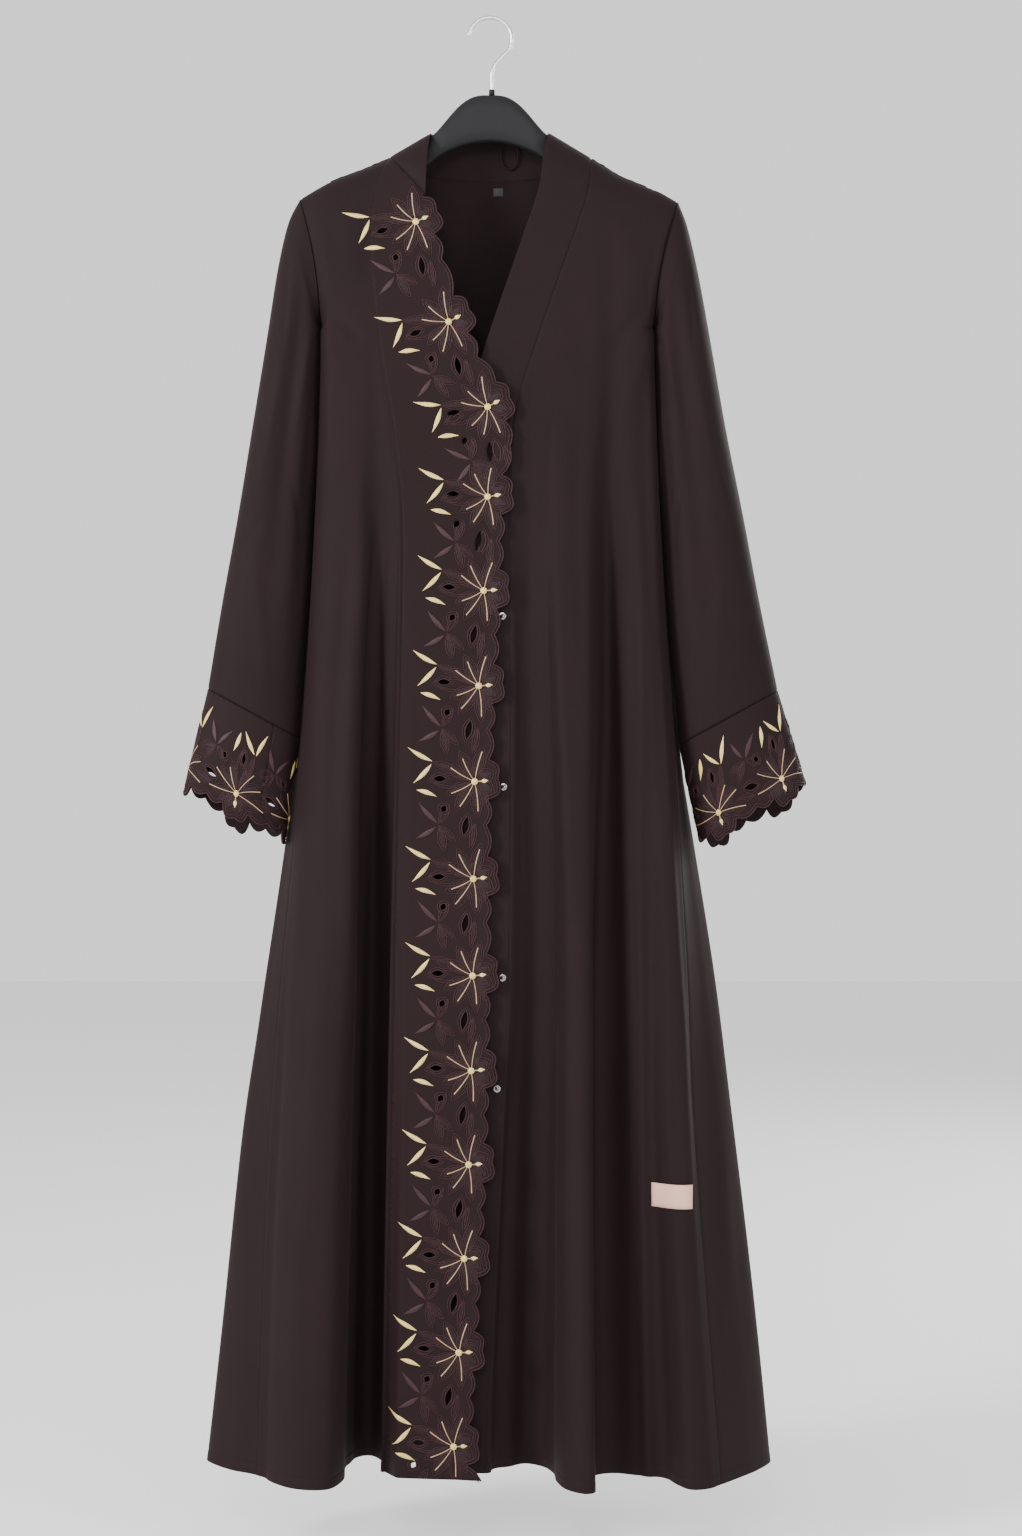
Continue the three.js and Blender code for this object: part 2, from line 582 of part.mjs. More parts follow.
// One repeat of the cutwork, in millimetres from the flower's centre: out towards the scalloped edge and up
// along it. The lobes of the edge run downwards, each with its start, its end and how far it bows out.
const EDGE_LOBES = [
  { from: { out: 14, up: 23 }, to: { out: 24, up: 4 }, bow: 6, steps: 4 },
  { from: { out: 24, up: 4 }, to: { out: 14, up: -18 }, bow: 8, steps: 4 },
];
const SHALLOW_BOW = 5;
const SHALLOW_STEPS = 3;
const CUSP_OUT = 13.6;
const CUSP_UP = -45;
const EYELETS = [
  { out: -36, up: 2, long: 13.6, wide: 5.2, tilt: 0 },
  { out: -31, up: -29, long: 7.5, wide: 5.4, tilt: 60 },
  { out: -8, up: -46, long: 21, wide: 5.8, tilt: 80 },
];
const EYELET_STEPS = 3;

// Points from one place to another on a bowed line, without the last; bow is to the left of the way
function bowed(from, to, bow, count) {
  const side = new THREE.Vector2(from.y - to.y, to.x - from.x).normalize();
  return steps(0, 1, count).slice(0, -1).map((share) => new THREE.Vector2()
    .lerpVectors(from, to, share).addScaledVector(side, bow * Math.sin(Math.PI * share)));
}

// A pointed oval hole, placed by the repeat's own frame
function eyelet(place, { out, up, long, wide, tilt }) {
  const turn = THREE.MathUtils.degToRad(tilt);
  const half = long / 2;
  const [dOut, dUp] = [half * Math.cos(turn), half * Math.sin(turn)];
  const tip = place(out + dOut, up + dUp);
  const root = place(out - dOut, up - dUp);
  return [...bowed(tip, root, wide / 2, EYELET_STEPS), ...bowed(root, tip, wide / 2, EYELET_STEPS)];
}

// Flowers of the front border, counted from the neck
const FLOWER_LINE = [
  { flower: 1, x: -76.5, z: -218 },
  { flower: 2, x: -42.4, z: -322 },
  { flower: 3, x: -2.1, z: -410 },
  { flower: 4, x: -2.1, z: -503 },
  { flower: 5, x: -6.2, z: -600 },
  { flower: 7, x: -15.5, z: -797 },
  { flower: 9, x: -17.5, z: -997 },
  { flower: 11, x: -21.6, z: -1191 },
  { flower: 14, x: -37, z: -1479 },
];
const FLOWERS = 14;
const BORDER_HEM = { x: -8.4, z: -1513.6 };
// The border curves back to the pressed line over this width, which is less beside the neck
const PRESSED_NARROW = 4;
const PRESSED_WIDTH = 14;
const NARROW_TOP = { from: -175, full: -205 };
const NARROW_FOOT = { full: -380, to: -600 };
const BORDER_LONGEST = 70;
const HEM_EYELET = { out: -40, up: -21, long: 7, wide: 5, tilt: 60 };

// Frame of a repeat in the picture plane (x, z); between two flowers it follows the line
function borderPlace(flower) {
  const at = (count) => new THREE.Vector2(
    column(FLOWER_LINE, 'flower', 'x', count),
    column(FLOWER_LINE, 'flower', 'z', count),
  );
  const reach = 0.15;
  const centre = at(flower);
  const way = at(Math.min(FLOWERS, flower + reach)).sub(at(Math.max(1, flower - reach))).normalize();
  return (out, up) => new THREE.Vector2(
    centre.x - way.y * out - way.x * up,
    centre.y + way.x * out - way.y * up,
  );
}

// Left edge of the border: the rows of the right front, pulled off by the seam
const pressedRows = ALL_ROWS.map((row) => bodyPoint('front_right', 0, row));
pressedRows[0].z -= SEAM / 2;

function pressedAt(z) {
  let row = 0;
  while (row < pressedRows.length - 2 && z < pressedRows[row + 1].z) row += 1;
  const share = clamp01((pressedRows[row].z - z) / (pressedRows[row].z - pressedRows[row + 1].z));
  return pressedRows[row].clone().lerp(pressedRows[row + 1], share);
}

function pressedWidth(z) {
  const below = THREE.MathUtils.smoothstep(-z, -NARROW_TOP.from, -NARROW_TOP.full);
  const above = THREE.MathUtils.smoothstep(z, NARROW_FOOT.to, NARROW_FOOT.full);
  return mix(PRESSED_WIDTH, PRESSED_NARROW, below * above);
}

function borderPoint(x, z) {
  const fold = pressedAt(z);
  const near = 1 - THREE.MathUtils.smoothstep(x - fold.x, 0, pressedWidth(z));
  return new THREE.Vector3(x, -drape(x, z) + near * (fold.y + drape(fold.x, z)), z);
}

// Lines across the border where one repeat ends: from the cusp of the edge, round the long eyelet
function repeatEnd(flower) {
  const place = borderPlace(flower);
  const cusp = place(CUSP_OUT, CUSP_UP);
  const inner = place(-22, -60);
  return { cusp, inner, middle: place(3, -61), z: inner.y };
}

const ends = Array.from({ length: FLOWERS - 1 }, (_, index) => repeatEnd(index + 1));
const hemZ = pressedRows[pressedRows.length - 1].z;
const levels = [...pressedRows.map(({ z }) => z), ...ends.map(({ z }) => z)].sort((a, b) => b - a);
const pressedEdge = (z) => new THREE.Vector2(pressedAt(z).x + SEAM, z);
const bandEndSlope = (BAND_END.x + BAND_SHOULDER_X) / (BAND_END.z - BAND_SHOULDER_Z);

function foldEdge(z) {
  const bandEnd = -BAND_SHOULDER_X + (z - BAND_SHOULDER_Z + SEAM) * bandEndSlope;
  const left = pressedEdge(z).x;
  return new THREE.Vector2(Math.max(left, Math.min(left + pressedWidth(z), bandEnd)), z);
}

function borderCell(index) {
  const place = borderPlace(index + 1);
  const last = index === FLOWERS - 1;
  const topZ = index ? ends[index - 1].z : levels[0];
  const bottomZ = last ? hemZ : ends[index].z;
  const lobeStart = place(EDGE_LOBES[0].from.out, EDGE_LOBES[0].from.up);
  const lobeEnd = place(EDGE_LOBES[1].to.out, EDGE_LOBES[1].to.up);
  const corner = last ? new THREE.Vector2(BORDER_HEM.x, BORDER_HEM.z) : ends[index].cusp;
  const outline = [];
  if (index) {
    const above = ends[index - 1];
    outline.push(above.inner, above.middle, ...bowed(above.cusp, lobeStart, SHALLOW_BOW, SHALLOW_STEPS));
  } else outline.push(new THREE.Vector2(BAND_END.x, BAND_END.z - SEAM));
  for (const lobe of EDGE_LOBES) {
    const from = place(lobe.from.out, lobe.from.up);
    outline.push(...bowed(from, place(lobe.to.out, lobe.to.up), lobe.bow, lobe.steps));
  }
  outline.push(...bowed(lobeEnd, corner, SHALLOW_BOW * (last ? 0.4 : 1), SHALLOW_STEPS), corner);
  if (!last) outline.push(ends[index].middle, ends[index].inner);
  outline.push(...levels.filter((z) => z <= topZ && z >= bottomZ).sort((a, b) => a - b).map(foldEdge));
  const cuts = last ? [EYELETS[0], HEM_EYELET] : EYELETS;
  return { outline, holes: cuts.map((cut) => eyelet(place, cut)) };
}

const foldStrips = levels.slice(1).flatMap((z, index) => {
  const [a, b, c, d] = [pressedEdge(levels[index]), foldEdge(levels[index]), foldEdge(z), pressedEdge(z)];
  return [[a, c, b], [a, d, c]];
});
const frontBorder = cutworkWall({
  cells: steps(0, FLOWERS - 1, FLOWERS - 1).map(borderCell),
  strips: foldStrips,
  lift: borderPoint,
  length: (a, b) => a.distanceTo(b),
  longest: BORDER_LONGEST,
  outward: 1,
});

// Sleeves: a row for each section from the armhole down. out and in are the outer and inner ends of the
// section seen from the front, depth is half its depth and forward moves it towards the front.
const armholeSection = (outX, outZ, inX) => (
  { at: 0, outX, outZ, inX, inZ: UNDERARM_Z, depth: ARMHOLE_HALF_DEPTH }
);
const SLEEVES = {
  sleeve_right: {
    armhole: BODY.front_right.armhole,
    outward: -1,
    rows: [
      armholeSection(SHOULDER_RIGHT_X, SHOULDER_RIGHT_Z, UNDERARM_RIGHT_X),
      { at: 1, outX: -211, outZ: -214, inX: -180, inZ: -333, depth: 30 },
      { at: 2, outX: -222, outZ: -262, inX: -181.5, inZ: -344, depth: 33 },
      { at: 3, outX: -234, outZ: -338, inX: -182, inZ: -374, depth: 35 },
      { at: 4, outX: -249, outZ: -430, inX: -183, inZ: -440, depth: 36 },
      { at: 5, outX: -264.6, outZ: -525, inX: -187.5, inZ: -530, depth: 36 },
      { at: 6, outX: -280, outZ: -610, inX: -192, inZ: -624, depth: 35 },
      { at: 7, outX: -295, outZ: -700, inX: -202.5, inZ: -752, depth: 32 },
    ],
    cuff: { outX: -320, outZ: -805, inX: -218, inZ: -858, depth: 27 },
    firstFlower: 0,
  },
  sleeve_left: {
    armhole: BODY.front_left.armhole,
    outward: 1,
    rows: [
      armholeSection(SHOULDER_LEFT_X, SHOULDER_LEFT_Z, UNDERARM_LEFT_X),
      { at: 1, outX: 207, outZ: -219, inX: 175, inZ: -333, depth: 30 },
      { at: 2, outX: 219, outZ: -272, inX: 176.5, inZ: -345, depth: 33 },
      { at: 3, outX: 233, outZ: -350, inX: 177, inZ: -375, depth: 35 },
      { at: 4, outX: 247, outZ: -430, inX: 177, inZ: -440, depth: 36 },
      { at: 5, outX: 265, outZ: -520, inX: 182, inZ: -530, depth: 36 },
      { at: 6, outX: 282, outZ: -610, inX: 188, inZ: -624, depth: 35 },
      { at: 7, outX: 301, outZ: -702, inX: 201.5, inZ: -759, depth: 32 },
    ],
    cuff: { outX: 332, outZ: -803, inX: 223.5, inZ: -863, depth: 27 },
    firstFlower: 0.5,
  },
};
const SLEEVE_STEPS = 2 * ARMHOLE_STEPS;
const CUFF_HEIGHT = 105;
const CUFF_REPEATS = 4;
const CUFF_BACK_DROP = 13;         // the edge of a cuff hangs this much lower behind than in front
const FULL_TURN = 2 * Math.PI;

// Dents of the sleeve between the armhole and the cuff: angle from the outer edge, its width and its depth
const SLEEVE_FOLDS = [
  { angle: 0.27, width: 0.06, depth: 7, from: 1, to: 6.6 },
  { angle: 0.4, width: 0.05, depth: 4, from: 2.4, to: 6.9 },
  { angle: 0.71, width: 0.07, depth: 7, from: 1.6, to: 6.8 },
];

function sectionPoint(section, turn) {
  const angle = turn * FULL_TURN;
  const share = (1 - Math.cos(angle)) / 2;
  return new THREE.Vector3(
    mix(section.outX, section.inX, share),
    -section.depth * Math.sin(angle),
    mix(section.outZ, section.inZ, share),
  );
}

// turn is 0 at the outer edge, a quarter at the front and a half at the underarm
function sleevePoint(sleeve, turn, row) {
  if (row <= 0) {
    const front = ((turn % 1) + 1) % 1 <= 0.5;
    const angle = (front ? ((turn % 1) + 1) % 1 : 1 - (((turn % 1) + 1) % 1)) * FULL_TURN;
    return armholePoint(sleeve.armhole, angle, front ? -1 : 1);
  }
  const last = sleeve.rows.length - 1;
  const value = (name) => column(sleeve.rows, 'at', name, row);
  const section = { outX: value('outX'), outZ: value('outZ'), inX: value('inX'), inZ: value('inZ') };
  section.depth = value('depth');
  const point = sectionPoint(section, turn);
  const middle = sectionPoint(section, 0).add(sectionPoint(section, 0.5)).divideScalar(2);
  const place = ((turn % 1) + 1) % 1;
  const squeeze = SLEEVE_FOLDS.reduce((total, fold) => {
    const along = Math.sin(Math.PI * clamp01((row - fold.from) / (Math.min(last, fold.to) - fold.from)));
    return total + fold.depth * along * Math.exp(-(((place - fold.angle) / fold.width) ** 2));
  }, 0);
  const out = point.clone().sub(middle);
  return point.addScaledVector(out.normalize(), -squeeze);
}

const SLEEVE_ROWS = [0, 0.5, 1, 2, 3, 4, 5, 6, 7];
function sleeveWall(sleeve) {
  const { x, z, underX } = sleeve.armhole;
  return gridWall({
    across: steps(0, 1, SLEEVE_STEPS),
    down: SLEEVE_ROWS,
    point: (turn, row) => sleevePoint(sleeve, turn, row),
    outward: sleeve.outward,
    round: true,
    plane: new THREE.Vector3(z - UNDERARM_Z, 0, underX - x).normalize(),
  });
}

// Cuffs: the same cutwork, turned so that its scalloped edge is the hem of the sleeve. A place on a cuff is
// the way round it from the outer edge and the height over its edge.
const CUFF_FLOWER_HEIGHT = 22;
const CUFF_LONGEST = 13;
const FRONT_REPEAT = 100;          // repeat of the front border, which the lobes and eyelets are drawn for
const ROUND_SAMPLES = 72;

function cuffSurface(sleeve) {
  const edge = sleeve.cuff;
  const top = sleeve.rows[sleeve.rows.length - 1];
  const middle = { depth: (edge.depth + top.depth) / 2 };
  for (const name of ['outX', 'outZ', 'inX', 'inZ']) middle[name] = (edge[name] + top[name]) / 2;
  const lengths = [0];
  for (let index = 1; index <= ROUND_SAMPLES; index += 1) {
    const from = sectionPoint(middle, (index - 1) / ROUND_SAMPLES);
    lengths.push(lengths[index - 1] + from.distanceTo(sectionPoint(middle, index / ROUND_SAMPLES)));
  }
  const round = lengths[ROUND_SAMPLES];
  const turnAt = (way) => {
    const whole = Math.floor(way / round);
    const rest = way - whole * round;
    let index = 0;
    while (index < ROUND_SAMPLES - 1 && rest > lengths[index + 1]) index += 1;
    return whole + (index + (rest - lengths[index]) / (lengths[index + 1] - lengths[index])) / ROUND_SAMPLES;
  };
  const point = (way, height) => {
    const turn = turnAt(way);
    const low = sectionPoint(edge, turn);
    low.z -= CUFF_BACK_DROP * Math.max(0, low.y / edge.depth) ** 1.3;
    return low.lerp(sectionPoint(top, turn), height / CUFF_HEIGHT);
  };
  return { round, point };
}

function cuffHalf(sleeve, half) {
  const { round, point } = cuffSurface(sleeve);
  const pitch = round / CUFF_REPEATS;
  const narrow = pitch / FRONT_REPEAT;
  const way = -sleeve.outward;
  const place = (repeat) => (out, up) => new THREE.Vector2(
    (sleeve.firstFlower + repeat) * pitch + up * narrow,
    CUFF_FLOWER_HEIGHT - out,
  );
  // Line where one repeat ends, from the top of the cuff to the cusp of its edge
  const end = (repeat, gap) => {
    const here = place(repeat);
    const topOut = CUFF_FLOWER_HEIGHT - CUFF_HEIGHT + SEAM;
    const line = [here(topOut, -60), here(-22, -60), here(3, -61), here(CUSP_OUT, CUSP_UP)];
    return line.map((corner) => corner.add(new THREE.Vector2(gap, 0)));
  };
  const cells = steps(0, 1, 1).map((step) => {
    const repeat = half * 2 + step;
    const here = place(repeat);
    const low = end(repeat, step === 0 ? SEAM / 2 : 0);
    const high = end(repeat + 1, step === 1 ? -SEAM / 2 : 0);
    const lobeStart = here(EDGE_LOBES[0].from.out, EDGE_LOBES[0].from.up);
    const outline = [...high.slice(0, -1)];
    outline.push(...bowed(high[high.length - 1], lobeStart, SHALLOW_BOW, SHALLOW_STEPS));
    for (const lobe of EDGE_LOBES) {
      const from = here(lobe.from.out, lobe.from.up);
      outline.push(...bowed(from, here(lobe.to.out, lobe.to.up), lobe.bow, lobe.steps));
    }
    const lobeEnd = here(EDGE_LOBES[1].to.out, EDGE_LOBES[1].to.up);
    outline.push(...bowed(lobeEnd, low[low.length - 1], SHALLOW_BOW, SHALLOW_STEPS));
    outline.push(...low.reverse());
    return { outline, holes: EYELETS.map((cut) => eyelet(here, cut)) };
  });
  return cutworkWall({
    cells,
    lift: (x, y) => point(way * x, y),
    length: (a, b) => Math.abs(a.x - b.x),
    longest: CUFF_LONGEST,
    outward: 1,
  });
}

// Labels: small patches laid on a body piece, lifted clear of its flat faces
function placeOn(name, x, z) {
  let across = 0;
  let row = 0;
  const last = BODY[name].folds.length - 1;
  const rising = bodyPoint(name, last, ARMHOLE_STEPS).x > bodyPoint(name, 0, ARMHOLE_STEPS).x;
  const search = (low, high, over) => {
    let [from, to] = [low, high];
    for (let turn = 0; turn < 24; turn += 1) {
      const middle = (from + to) / 2;
      if (over(middle)) to = middle;
      else from = middle;
    }
    return (from + to) / 2;
  };
  for (let turn = 0; turn < 6; turn += 1) {
    row = search(0, ALL_ROWS.length - 1, (value) => bodyPoint(name, across, value).z < z);
    across = search(0, last, (value) => (bodyPoint(name, value, row).x > x) === rising);
  }
  return { across, row };
}

function patch(name, { x, z, width, height, cloth, face, lift, columns, rows }) {
  const off = face > 0 ? lift + cloth : -(CLOTH + lift + cloth);
  const reach = 0.02;
  const point = (u, v) => {
    const { across, row } = placeOn(name, x + width * (u - 0.5), z - height * (v - 0.5));
    const along = bodyPoint(name, across + reach, row).sub(bodyPoint(name, across - reach, row));
    const below = bodyPoint(name, across, row + reach).sub(bodyPoint(name, across, row - reach));
    return bodyPoint(name, across, row).addScaledVector(along.cross(below).normalize(), off);
  };
  return gridWall({
    across: steps(0, 1, columns),
    down: steps(0, 1, rows),
    point,
    cloth,
    outward: -1,
    reach: 0.1,
  });
}

const SIDE_PATCH = {
  x: 187.2, z: -1221.5, width: 40, height: 24.5, cloth: 1, face: 1, lift: 1.6, columns: 5, rows: 2,
};
const SIZE_LABEL = {
  x: 8.6, z: -174.5, width: 10.5, height: 8.5, cloth: 1, face: -1, lift: 0.6, columns: 2, rows: 1,
};

// Snap studs on the neck band, each a low dome on a flat foot, seen at the edge of the border
const SNAPS = [
  { x: 13.2, z: -626 },
  { x: 14.2, z: -802.5 },
  { x: 13.2, z: -999.5 },
  { x: 7.6, z: -1114 },
];
const SNAP_RADIUS = 3.8;
const SNAP_HEIGHT = 2.4;
const SNAP_SIDES = 10;

function snap() {
  const profile = [
    [0, 0],
    [SNAP_RADIUS, 0],
    [SNAP_RADIUS, SNAP_HEIGHT * 0.35],
    [SNAP_RADIUS * 0.62, SNAP_HEIGHT * 0.85],
    [0, SNAP_HEIGHT],
  ].map(([radius, height]) => new THREE.Vector2(radius, height));
  return new THREE.LatheGeometry(profile, SNAP_SIDES);
}

function bandDepthAt(x, z) {
  const { row } = placeOn('front_left', column(BAND_SEAM, 'z', 'x', z), z);
  const seam = bodyPoint('front_left', LEFT_SEAM, row);
  return seam.y + drape(seam.x, seam.z) - drape(x, z);
}

// Hanger: half of its sections from the middle to a shoulder. Past the neck its top lies under the cloth's
// top line by the size named under.
const HANGER_SECTIONS = [
  { x: 0, top: -79.6, low: -128, depth: 9 },
  { x: 10, top: -79.8, low: -128.8, depth: 9 },
  { x: 20, top: -82.5, low: -130.4, depth: 9 },
  { x: 30, top: -89, low: -133.4, depth: 9 },
  { x: 39, top: -98, low: -137, depth: 9 },
  { x: 48, top: -108.8, low: -141.5, depth: 9 },
  { x: 57, top: -118.8, low: -147, depth: 7.5 },
  { x: 66, under: 3.8, thick: 28.6, depth: 6 },
  { x: 84, under: 4, thick: 24.4, depth: 5.5 },
  { x: 100, under: 4.6, thick: 21, depth: 3.9 },
  { x: 136, under: 2.4, thick: 20, depth: 6 },
  { x: 168, under: 2.8, thick: 17.6, depth: 6 },
  { x: 184, under: 2.6, thick: 15, depth: 5.5 },
  { x: 190, under: 4, thick: 8, depth: 3.5 },
];
const HANGER_STEPS = 12;
const HANGER_SQUARE = 0.75;        // under 1 makes the oval section squarer, as a moulded hanger is

function hangerBody() {
  const half = HANGER_SECTIONS.slice(1);
  const sections = [
    ...half.map((section) => ({ ...section, x: -section.x })).reverse(),
    HANGER_SECTIONS[0],
    ...half,
  ];
  const position = [];
  const bulge = (value) => Math.sign(value) * Math.abs(value) ** HANGER_SQUARE;
  for (const section of sections) {
    const top = section.top ?? topLine(section.x) - section.under;
    const low = section.low ?? top - section.thick;
    for (let step = 0; step < HANGER_STEPS; step += 1) {
      const angle = (step / HANGER_STEPS) * FULL_TURN;
      const rise = section.thick ? Math.cos(angle) : bulge(Math.cos(angle));
      const y = section.depth * bulge(Math.sin(angle));
      position.push(section.x, y, (top + low) / 2 + ((top - low) / 2) * rise);
    }
  }
  const index = [];
  const last = sections.length - 1;
  for (let row = 0; row < last; row += 1) {
    for (let step = 0; step < HANGER_STEPS; step += 1) {
      const next = (step + 1) % HANGER_STEPS;
      const [a, b] = [row * HANGER_STEPS + step, row * HANGER_STEPS + next];
      const [c, d] = [a + HANGER_STEPS, b + HANGER_STEPS];
      index.push(a, c, b, b, c, d);
    }
  }
  for (let step = 1; step < HANGER_STEPS - 1; step += 1) {
    const end = last * HANGER_STEPS;
    index.push(0, step, step + 1, end, end + step + 1, end + step);
  }
  const geometry = new THREE.BufferGeometry();
  geometry.setAttribute('position', new THREE.Float32BufferAttribute(position, 3));
  geometry.setIndex(index);
  geometry.computeVertexNormals();
  return geometry;
}

// Hook: round wire over the rail, back under it and down the stem into the ferrule
const WIRE = 4.4;
const HOOK_RADIUS = 20.6;          // inside of the hook
const STEM_X = 2;
const FERRULE_TOP = -73.6;
const FERRULE_HEIGHT = 5.6;
const FERRULE_RADIUS = 3.1;
const FERRULE_SIDES = 16;
const HOOK_STEPS = 34;
const WIRE_SIDES = 8;

class HookWay extends THREE.CurvePath {
  constructor() {
    super();
    const ring = HOOK_RADIUS + WIRE / 2;
    const at = (degrees) => {
      const angle = THREE.MathUtils.degToRad(degrees);
      return new THREE.Vector3(ring * Math.cos(angle), 0, -HOOK_RADIUS + ring * Math.sin(angle));
    };
    const round = steps(172, -24, 9).map(at);
    const down = [
      new THREE.Vector3(13.5, 0, -38),
      new THREE.Vector3(6.2, 0, -46.5),
      new THREE.Vector3(STEM_X, 0, -55),
      new THREE.Vector3(STEM_X, 0, -65),
      new THREE.Vector3(STEM_X, 0, FERRULE_TOP + SEAM),
    ];
    this.add(new THREE.CatmullRomCurve3([...round, ...down], false, 'centripetal'));
  }
}

function tube(way, radius, count, sides) {
  const section = new THREE.Shape(steps(0, sides - 1, sides - 1).map((side) => {
    const angle = (side / sides) * FULL_TURN;
    return new THREE.Vector2(radius * Math.cos(angle), radius * Math.sin(angle));
  }));
  return new THREE.ExtrudeGeometry(section, { steps: count, extrudePath: way, bevelEnabled: false });
}

// Hanging loop: a thin cord whose two ends are sewn inside the neck band at the back
const LOOP_RADIUS = 0.9;
const LOOP_WAY = [
  { x: 11.5, z: -128 },
  { x: 11.6, z: -139 },
  { x: 14.5, z: -148 },
  { x: 21, z: -151.5 },
  { x: 27.5, z: -147 },
  { x: 29.6, z: -138 },
  { x: 29.7, z: -128 },
];

function hangingLoop() {
  const inside = (x, z) => {
    const top = backNeckEdge(x);
    const seamZ = backTop((x * BAND_SHOULDER_X) / NECK_POINT_X);
    const share = (top.z - z) / (top.z - seamZ);
    return mix(top.y, drape(0, BACK_NECK_Z), share) - CLOTH - SEAM - LOOP_RADIUS - 0.25;
  };
  const way = LOOP_WAY.map(({ x, z }) => new THREE.Vector3(x, inside(x, z), z));
  return tube(new THREE.CatmullRomCurve3(way), LOOP_RADIUS, 16, 5);
}

// Colours and finishes
const crepe = new THREE.MeshStandardMaterial({ color: 0x33282a, roughness: 0.85, metalness: 0 });
const cutwork = new THREE.MeshStandardMaterial({ color: 0x3f2a2d, roughness: 0.7, metalness: 0 });
const labelCloth = new THREE.MeshStandardMaterial({ color: 0xdebea9, roughness: 0.7, metalness: 0 });
const greyTape = new THREE.MeshStandardMaterial({ color: 0x4a4c50, roughness: 0.7, metalness: 0 });
const moulded = new THREE.MeshStandardMaterial({ color: 0x343436, roughness: 0.55, metalness: 0 });
const steel = new THREE.MeshStandardMaterial({ color: 0xb8b8ba, roughness: 0.3, metalness: 1 });
const stud = new THREE.MeshStandardMaterial({ color: 0xc9c6c0, roughness: 0.2, metalness: 1 });

const abaya = new THREE.Group();

function piece(name, geometry, material) {
  const mesh = new THREE.Mesh(geometry, material);
  mesh.name = name;
  abaya.add(mesh);
  return mesh;
}

piece('front_right', bodyWall('front_right', RIGHT_COLUMNS), crepe);
piece('front_left', bodyWall('front_left', LEFT_COLUMNS), crepe);
piece('back', bodyWall('back', BACK_COLUMNS), crepe);
piece('neck_band', neckBand, crepe);
piece('front_border', frontBorder, cutwork);
for (const [name, sleeve] of Object.entries(SLEEVES)) {
  piece(name, sleeveWall(sleeve), crepe);
  const cuff = name.replace('sleeve', 'cuff');
  for (const half of [0, 1]) piece(`${cuff}_${half + 1}`, cuffHalf(sleeve, half), cutwork);
}
piece('hanging_loop', hangingLoop(), crepe);
piece('size_label', patch('back', SIZE_LABEL), greyTape);
piece('side_patch', patch('front_left', SIDE_PATCH), labelCloth);
SNAPS.forEach(({ x, z }, index) => {
  const mesh = piece(`snap_${index + 1}`, snap(), stud);
  mesh.rotation.x = Math.PI;
  mesh.position.set(x, bandDepthAt(x, z) - SEAM, z);
});
piece('hanger_body', hangerBody(), moulded);
const barrel = new THREE.CylinderGeometry(FERRULE_RADIUS, FERRULE_RADIUS, FERRULE_HEIGHT, FERRULE_SIDES);
const ferrule = piece('hanger_ferrule', barrel, moulded);
ferrule.rotation.x = Math.PI / 2;
ferrule.position.set(STEM_X, 0, FERRULE_TOP - FERRULE_HEIGHT / 2);
piece('hanger_hook', tube(new HookWay(), WIRE / 2, HOOK_STEPS, WIRE_SIDES), steel);

export default abaya;
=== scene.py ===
import math
from functools import partial

import bpy
import numpy as np
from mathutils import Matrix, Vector, geometry


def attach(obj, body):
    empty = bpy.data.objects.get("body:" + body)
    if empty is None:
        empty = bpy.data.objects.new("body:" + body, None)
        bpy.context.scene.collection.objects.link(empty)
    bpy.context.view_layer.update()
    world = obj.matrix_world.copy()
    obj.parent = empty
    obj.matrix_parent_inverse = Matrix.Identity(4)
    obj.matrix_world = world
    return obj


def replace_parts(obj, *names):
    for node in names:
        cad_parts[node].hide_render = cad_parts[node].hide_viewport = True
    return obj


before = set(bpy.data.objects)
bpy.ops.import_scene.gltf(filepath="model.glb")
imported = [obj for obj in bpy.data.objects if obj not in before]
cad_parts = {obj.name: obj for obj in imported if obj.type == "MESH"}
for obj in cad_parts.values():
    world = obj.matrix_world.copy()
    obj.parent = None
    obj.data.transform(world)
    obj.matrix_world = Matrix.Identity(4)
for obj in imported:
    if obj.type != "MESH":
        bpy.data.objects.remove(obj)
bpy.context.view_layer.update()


# Form of the body: one front on each side and a back that wraps round both, cut from crepe and sewn to each
# other and to the sleeves. The cloth drops from the hanger's line, and its fold lines open towards the hem.
ARMHOLE_STEPS = 8
SHOULDER_RIGHT, SHOULDER_LEFT = (-198.7, -188.8), (197.0, -192.0)
UNDERARM_RIGHT_X, UNDERARM_LEFT_X, UNDERARM_Z = -176.5, 171.0, -325.0
ARMHOLE_HALF_DEPTH = 27.0
ARMHOLE_BOW = 5.0
NECK_POINT_X, NECK_POINT_Z = 61.7, -118.7
BAND_SHOULDER_X, BAND_SHOULDER_Z = 105.6, -144.9
BACK_NECK_Z = -163.7
INNER_CHEST_Z = -342.0
HEM_Z, HEM_DIP = -1507.0, 0.11
FRONT_LAP = 6.0
TOP_DEPTH = 0.9
BODY_ROWS = [0, 0.065, 0.135, 0.21, 0.3, 0.4, 0.51, 0.63, 0.755, 0.88, 1]
LAST_ROW = ARMHOLE_STEPS + len(BODY_ROWS) - 1


def table(names, *rows):
    """Columns of numbers by name, from rows of numbers."""
    return {name: np.array(values, float) for name, values in zip(names.split(), zip(*rows))}


def clamp01(value):
    return np.clip(value, 0.0, 1.0)


def mix(start, end, share):
    return start + (end - start) * share


def smooth(low, high, value):
    """Soft step from 0 at low to 1 at high."""
    share = clamp01((value - low) / (high - low))
    return share * share * (3 - 2 * share)


